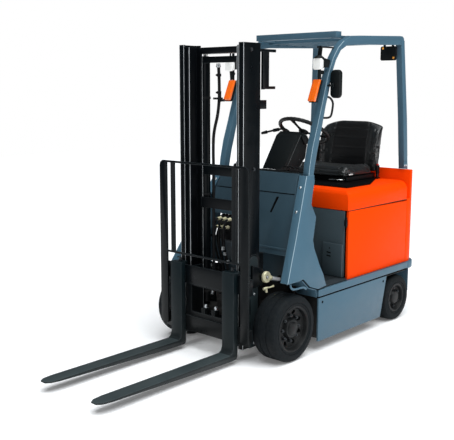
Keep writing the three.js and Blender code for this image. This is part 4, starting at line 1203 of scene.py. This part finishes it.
for s, sx in SIDES:
    def X(x):
        return sx * x
    # guard plate: bolts on the front flange, and a light strip along the folded edge: painted highlight
    bm = bmesh.new()
    for zz in (942, 1090):
        add_dome(bm, P(X(plate_x(zz) - 36), plate_y(zz) - 0.4, zz), (0, -0.883, 0.469), 9.5, 5, 20)
    emit("guard_bolts_" + s, bm, "bolt", "chassis", 0, 1, 40, (), "bright_steel")
    bm = bmesh.new()
    line = [(520.2, -75.6, 525), (plate_x(775) - 0.9, 64.2, 775), (397.4, 270.2, 1163)]
    a, b, c_ = (P(X(x), y, z) for x, y, z in line)
    add_tube(bm, [a, a.lerp(b, 0.5), b, b.lerp(c_, 0.5), c_], 0.0016, 10)
    tube_edge = [(293, 1163), (302, 1231), (317, 1295), (334, 1360), (357, 1424), (380, 1489), (402, 1554), (424, 1619), (455, 1716),
                 (486, 1814), (515, 1870), (545, 1930), (597, 1993), (663, 2041)]
    add_tube(bm, [P(X(397.2), y + 0.8, z) for y, z in tube_edge], 0.0014, 10)
    emit("guard_fold_highlight_" + s, bm, "edge_highlight_line", "chassis", 0, 1, 40, (), "body_grey")
    # fender lip under the plate's foot
    bm = bmesh.new()
    lip = [(-44, 517), (-40, 498), (-28, 484), (-8, 477), (30, 474), (70, 474), (96, 471), (124, 455)]
    rows = []
    for (y, z) in lip:
        rows.append([bm.verts.new(P(X(x), y + dy, z + dz)) for x, dy, dz in ((511.5, -4, -5), (519.5, -4, -5), (519.5, 4, 6), (511.5, 4, 6))])
    for r0, r1 in zip(rows, rows[1:]):
        for k in range(4):
            bm.faces.new((r0[k], r0[(k + 1) % 4], r1[(k + 1) % 4], r1[k]))
    bm.faces.new(list(reversed(rows[0])))
    bm.faces.new(rows[-1])
    emit("fender_lip_" + s, bm, "grey", "chassis", 1.2, 2, 35, (), "body_grey")
    # side panel: lifting holes and seam
    bm = bmesh.new()
    for yy, zz in ((299, 335), (1060, 335)):
        add_lathe(bm, [(0, 0.8), (8.5, 0.8), (9, 0.2), (9, -2), (0, -2)], P(X(522), yy, zz), (sx, 0, 0), 24)
    add_box(bm, X(505.6) if sx > 0 else -521.2, X(521.2) if sx > 0 else -505.6, 258, 1400, 368.0, 376.6)
    emit("side_panel_holes_" + s, bm, "hole", "chassis", 0, 1, 40, (), "iron_dark")
    # step tread: rows of raised dimples
    bm = bmesh.new()
    for i in range(12):
        for j in range(3):
            add_dome(bm, P(X(455 + j * 20 + (i % 2) * 8), 285 + i * 25, 420.8), (0, 0, 1), 5.5, 1.8, 10)
    emit("step_dimples_" + s, bm, "grey", "chassis", 0, 1, 40, (), "body_grey")
    # battery panel: catch and pull
    bm = bmesh.new()
    add_box(bm, X(483), X(489), 604, 618, 786, 860)
    add_box(bm, X(478), X(496), 596, 612, 800, 842)
    emit("panel_catch_" + s, bm, "plastic", "chassis", 2, 2, 30, (), "plastic_black")
    # dark gap under the hood's edge
    bm = bmesh.new()
    add_box(bm, X(474), X(497.6), 626, 1402, 899.5, 904.5)
    emit("hood_gasket_" + s, bm, "hose", "chassis", 0, 1, 30, (), "vinyl_black")
    # rear pillar: foot flange with bolts
    bm = bmesh.new()
    add_box(bm, X(443.5), X(447.5), 1430, 1478, 1128, 1180)
    emit("rear_pillar_foot_" + s, bm, "grey", "chassis", 1.2, 2, 30, (), "body_grey")
    bm = bmesh.new()
    add_dome(bm, P(X(447.5), 1444, 1150), (sx, 0, 0), 7, 4, 16)
    add_dome(bm, P(X(447.5), 1466, 1150), (sx, 0, 0), 7, 4, 16)
    emit("rear_pillar_bolts_" + s, bm, "bolt", "chassis", 0, 1, 40, (), "bright_steel")

# roof bolts
bm = bmesh.new()
for x in (-320, 320):
    for yy in (657, 683, 1402, 1428):
        add_hex(bm, P(x, yy, 2106 if yy < 800 else 2100), (0, 0, 1), 17, 7) if yy > 800 else add_hex(bm, P(x, yy, 2098.5), (0, 0, 1), 17, 7)
emit("roof_bolts", bm, "bolt", "chassis", 0.3, 1, 30, (), "bright_steel")

# cowl: raised instrument strip, seam and slanted grip slot
bm = bmesh.new()
def cowl_face(z):
    """y of the cowl's sloping front at height z."""
    return 65 + (z - 662) * 185 / 476
a_, b_ = 1040, 1045.5
prism(bm, [(cowl_face(a_) - 1.2, a_), (cowl_face(a_) + 3, a_), (cowl_face(b_) + 3, b_), (cowl_face(b_) - 1.2, b_)], -345, 345)
emit("cowl_seam", bm, "hole", "chassis", 0.5, 1, 30, (), "plastic_black")
bm = bmesh.new()
vs = []
for (x, z) in ((222, 1018), (203, 1018), (178, 916), (192, 916)):
    vs.append((x, cowl_face(z), z))
A = [bm.verts.new(P(x, y - 1.5, z)) for x, y, z in vs]
B = [bm.verts.new(P(x, y + 4, z)) for x, y, z in vs]
bm.faces.new(A)
bm.faces.new(list(reversed(B)))
for i in range(4):
    bm.faces.new((A[i], A[(i + 1) % 4], B[(i + 1) % 4], B[i]))
emit("cowl_slot", bm, "hole", "chassis", 0.8, 1, 30, (), "plastic_black")
bm = bmesh.new()
a_, b_ = 694, 706
prism(bm, [(cowl_face(a_) - 5, a_), (cowl_face(a_) + 3, a_), (cowl_face(b_) + 3, b_), (cowl_face(b_) - 5, b_)], -84, 412)
emit("cowl_lip", bm, "cowl", "chassis", 1.8, 2, 30, (), "body_grey")
bm = bmesh.new()
prism(bm, [(279, 1171.6), (286, 1180), (328, 1180), (330, 1171.6)], -110, 322)
emit("dash_top", bm, "plastic", "chassis", 3.5, 3, 30, (), "plastic_black")
bm = bmesh.new()
for i, (x0, z0) in enumerate(((130, 0), (168, 6), (206, -4))):
    pts = [P(x0, 330, 1172 + z0), P(x0 + 6, 350, 1196 + z0), P(x0 + 30, 352, 1206 + z0 * 0.5), P(x0 + 76, 344, 1194), P(x0 + 96, 326, 1172)]
    add_tube(bm, smooth_path(pts, 6), 0.0055, 12)
add_box(bm, 236, 306, 290, 326, 1179, 1194)
add_box(bm, 120, 190, 290, 326, 1179, 1188)
emit("dash_cables", bm, "hose", "chassis", 1.0, 1, 35, (), "tyre_rubber")

# valve block in its bay, with unions and hoses
bm = bmesh.new()
add_box(bm, -262, -118, 128, 190, 742, 850)
add_box(bm, -250, -130, 120, 186, 690, 745)
for x in (-235, -205, -175, -145):
    add_cyl(bm, P(x, 158, 850), P(x, 158, 862), 0.013, 20)
emit("valve_block", bm, "iron", "chassis", 3, 2, 30, (), "iron_dark")
bm = bmesh.new()
for x, y, z in ((-141, 110, 835), (-186, 110, 835), (-231, 110, 835), (-160, 108, 778), (-205, 108, 778), (-240, 108, 778)):
    add_hex(bm, P(x, 128, z), (0, -1, 0), 24, 12, False)
    add_cyl(bm, P(x, 118, z), P(x, 98, z), 0.0095, 20)
    add_hex(bm, P(x, 104, z), (0, -1, 0), 20, 8, False)
emit("valve_unions", bm, "zinc", "chassis", 0.6, 1, 30, (), "bright_steel")
bm = bmesh.new()
for i, (x, z) in enumerate(((-141, 835), (-186, 835), (-231, 835), (-160, 778), (-205, 778), (-240, 778))):
    y0 = 98
    pts = [P(x, y0 + 2, z), P(x, y0 - 20, z - 6), P(x - 2, 62, z - 50), P(x - 4 + i * 2, 66, 660), P(x - 6 + i * 3, 96, 560), P(x - 6 + i * 3, 120, 440)]
    add_tube(bm, smooth_path(pts, 7), 0.0072, 12)
emit("valve_hoses", bm, "hose", "chassis", 0, 1, 40, (), "tyre_rubber")
bm = bmesh.new()
for x, y, z in ((-150, 60, 640), (-150, 78, 600), (-140, 100, 540)):
    add_cyl(bm, P(x, y, z - 12), P(x, y + 2, z + 12), 0.011, 20)
emit("valve_hose_ferrules", bm, "bolt", "chassis", 0.5, 1, 35, (), "bright_steel")

# dark sheets behind the valve block that fill the shaded space under the cab: painted shade, stopping short of the tilt
# cylinders
bm = bmesh.new()
add_box(bm, -272, -88, 206, 209, 436, 692)
add_box(bm, -438, -272, 206, 209, 500, 692)
add_box(bm, 88, 272, 206, 209, 436, 660)
emit("shade_backing_sheets", bm, "cowl", "chassis", 0.8, 1, 30, (), "body_grey")

# driver's bay: panel behind the pillar with two slots, and rubber mat lines
bm = bmesh.new()
add_box(bm, 300, 466, 598, 611.6, 436, 668)
emit("bay_cover", bm, M["grey_dark"], "chassis", 4, 3, 30, (), "body_grey")
bm = bmesh.new()
for x0, x1, zz in ((338, 372, 596), (338, 372, 572)):
    vs = add_box(bm, x0, x1, 596.8, 599, zz, zz + 9, Matrix.Rotation(math.radians(6), 3, "Y"))
add_cyl(bm, P(362, 596.6, 632), P(362, 600, 632), 0.005, 16)
emit("bay_cover_slots", bm, "hole", "chassis", 0.6, 1, 30, (), "plastic_black")
bm = bmesh.new()
for i in range(15):
    yy = 300 + i * 20
    add_box(bm, -430, 430, yy, yy + 8, 432.8, 435.6)
emit("floor_mat_ribs", bm, "mat", "chassis", 1.2, 2, 30, (), "vinyl_black")

# counterweight: tow pin handle, rear seam and fill strip
bm = bmesh.new()
add_cyl(bm, P(0, 1570, 556), P(0, 1570, 574), 0.014, 28)
emit("tow_pin_head", bm, "bolt_dark", "chassis", 1, 2, 35, (), "iron_dark")
bm = bmesh.new()
add_box(bm, -300, 300, 1594, 1597.6, 640, 646)
add_box(bm, -300, 300, 1594, 1597.6, 900, 906)
emit("counterweight_lines", bm, "hole", "chassis", 0.6, 1, 30, (), "plastic_black")

# hood: latch handle at the front
bm = bmesh.new()
add_box(bm, -46, 46, 602, 613, 930, 958)
emit("hood_latch", bm, "plastic", "hood_lid", 4, 3, 30, (), "plastic_black")

# ------------------------------------------------------------ studio
def floor():
    bm = bmesh.new()
    s = 14
    vs = [bm.verts.new((x, y, 0)) for x, y in ((-s, -s), (s, -s), (s, s), (-s, s))]
    bm.faces.new(vs)
    me = bpy.data.meshes.new("floor")
    bm.to_mesh(me)
    bm.free()
    m, nt, b = mat_new("studio_floor")
    v = coords(nt)
    nt.links.new(ramp(nt, noise(nt, v, 1.2, 3), [(0.3, (0.93, 0.93, 0.935)), (0.7, (0.95, 0.95, 0.955))]), b.inputs["Base Color"])
    b.inputs["Roughness"].default_value = 0.85
    b.inputs["Specular IOR Level"].default_value = 0.1
    b.inputs["Emission Color"].default_value = (1.0, 1.0, 1.0, 1)
    b.inputs["Emission Strength"].default_value = 0.09
    me.materials.append(m)
    ob = link(bpy.data.objects.new("floor", me))


floor()
world = bpy.data.worlds.new("studio")
bpy.context.scene.world = world
world.use_nodes = True
wn = world.node_tree
bg = wn.nodes["Background"]
bg.inputs["Color"].default_value = (0.90, 0.95, 1.0, 1)
bg.inputs["Strength"].default_value = 0.10
seen = wn.nodes.new("ShaderNodeBackground")
seen.inputs["Color"].default_value = (1.0, 1.0, 1.0, 1)
seen.inputs["Strength"].default_value = 1.0
lp = wn.nodes.new("ShaderNodeLightPath")
mx = wn.nodes.new("ShaderNodeMixShader")
wn.links.new(lp.outputs["Is Camera Ray"], mx.inputs[0])
wn.links.new(bg.outputs[0], mx.inputs[1])
wn.links.new(seen.outputs[0], mx.inputs[2])
wn.links.new(mx.outputs[0], wn.nodes["World Output"].inputs["Surface"])


def area(name, loc, target, size, power, size_y=None, color=(1, 1, 1)):
    l = bpy.data.lights.new(name, "AREA")
    l.shape = "RECTANGLE"
    l.size = size
    l.size_y = size_y or size
    l.energy = power
    l.color = color
    ob = link(bpy.data.objects.new(name, l))
    ob.location = loc
    ob.rotation_euler = (Vector(target) - Vector(loc)).to_track_quat("-Z", "Y").to_euler()
    return ob


sun = bpy.data.lights.new("overhead", "SUN")
sun.energy = 3.7
sun.color = (0.955, 0.985, 1.0)
sun.angle = math.radians(60)
so = link(bpy.data.objects.new("overhead", sun))
so.rotation_euler = Vector((-0.30, 0.12, -1)).to_track_quat("-Z", "Y").to_euler()
area("side_softbox", (5.2, 1.2, 2.0), (0, 0.2, 0.9), 2.6, 66, 2.4)
area("front_softbox", (-0.5, -6.5, 2.6), (0, 0, 1.0), 2.0, 52, 2.4)

sc = bpy.context.scene
sc.view_settings.view_transform = "Standard"
sc.view_settings.look = "None"
sc.view_settings.exposure = 0.0
sc.view_settings.gamma = 1.0
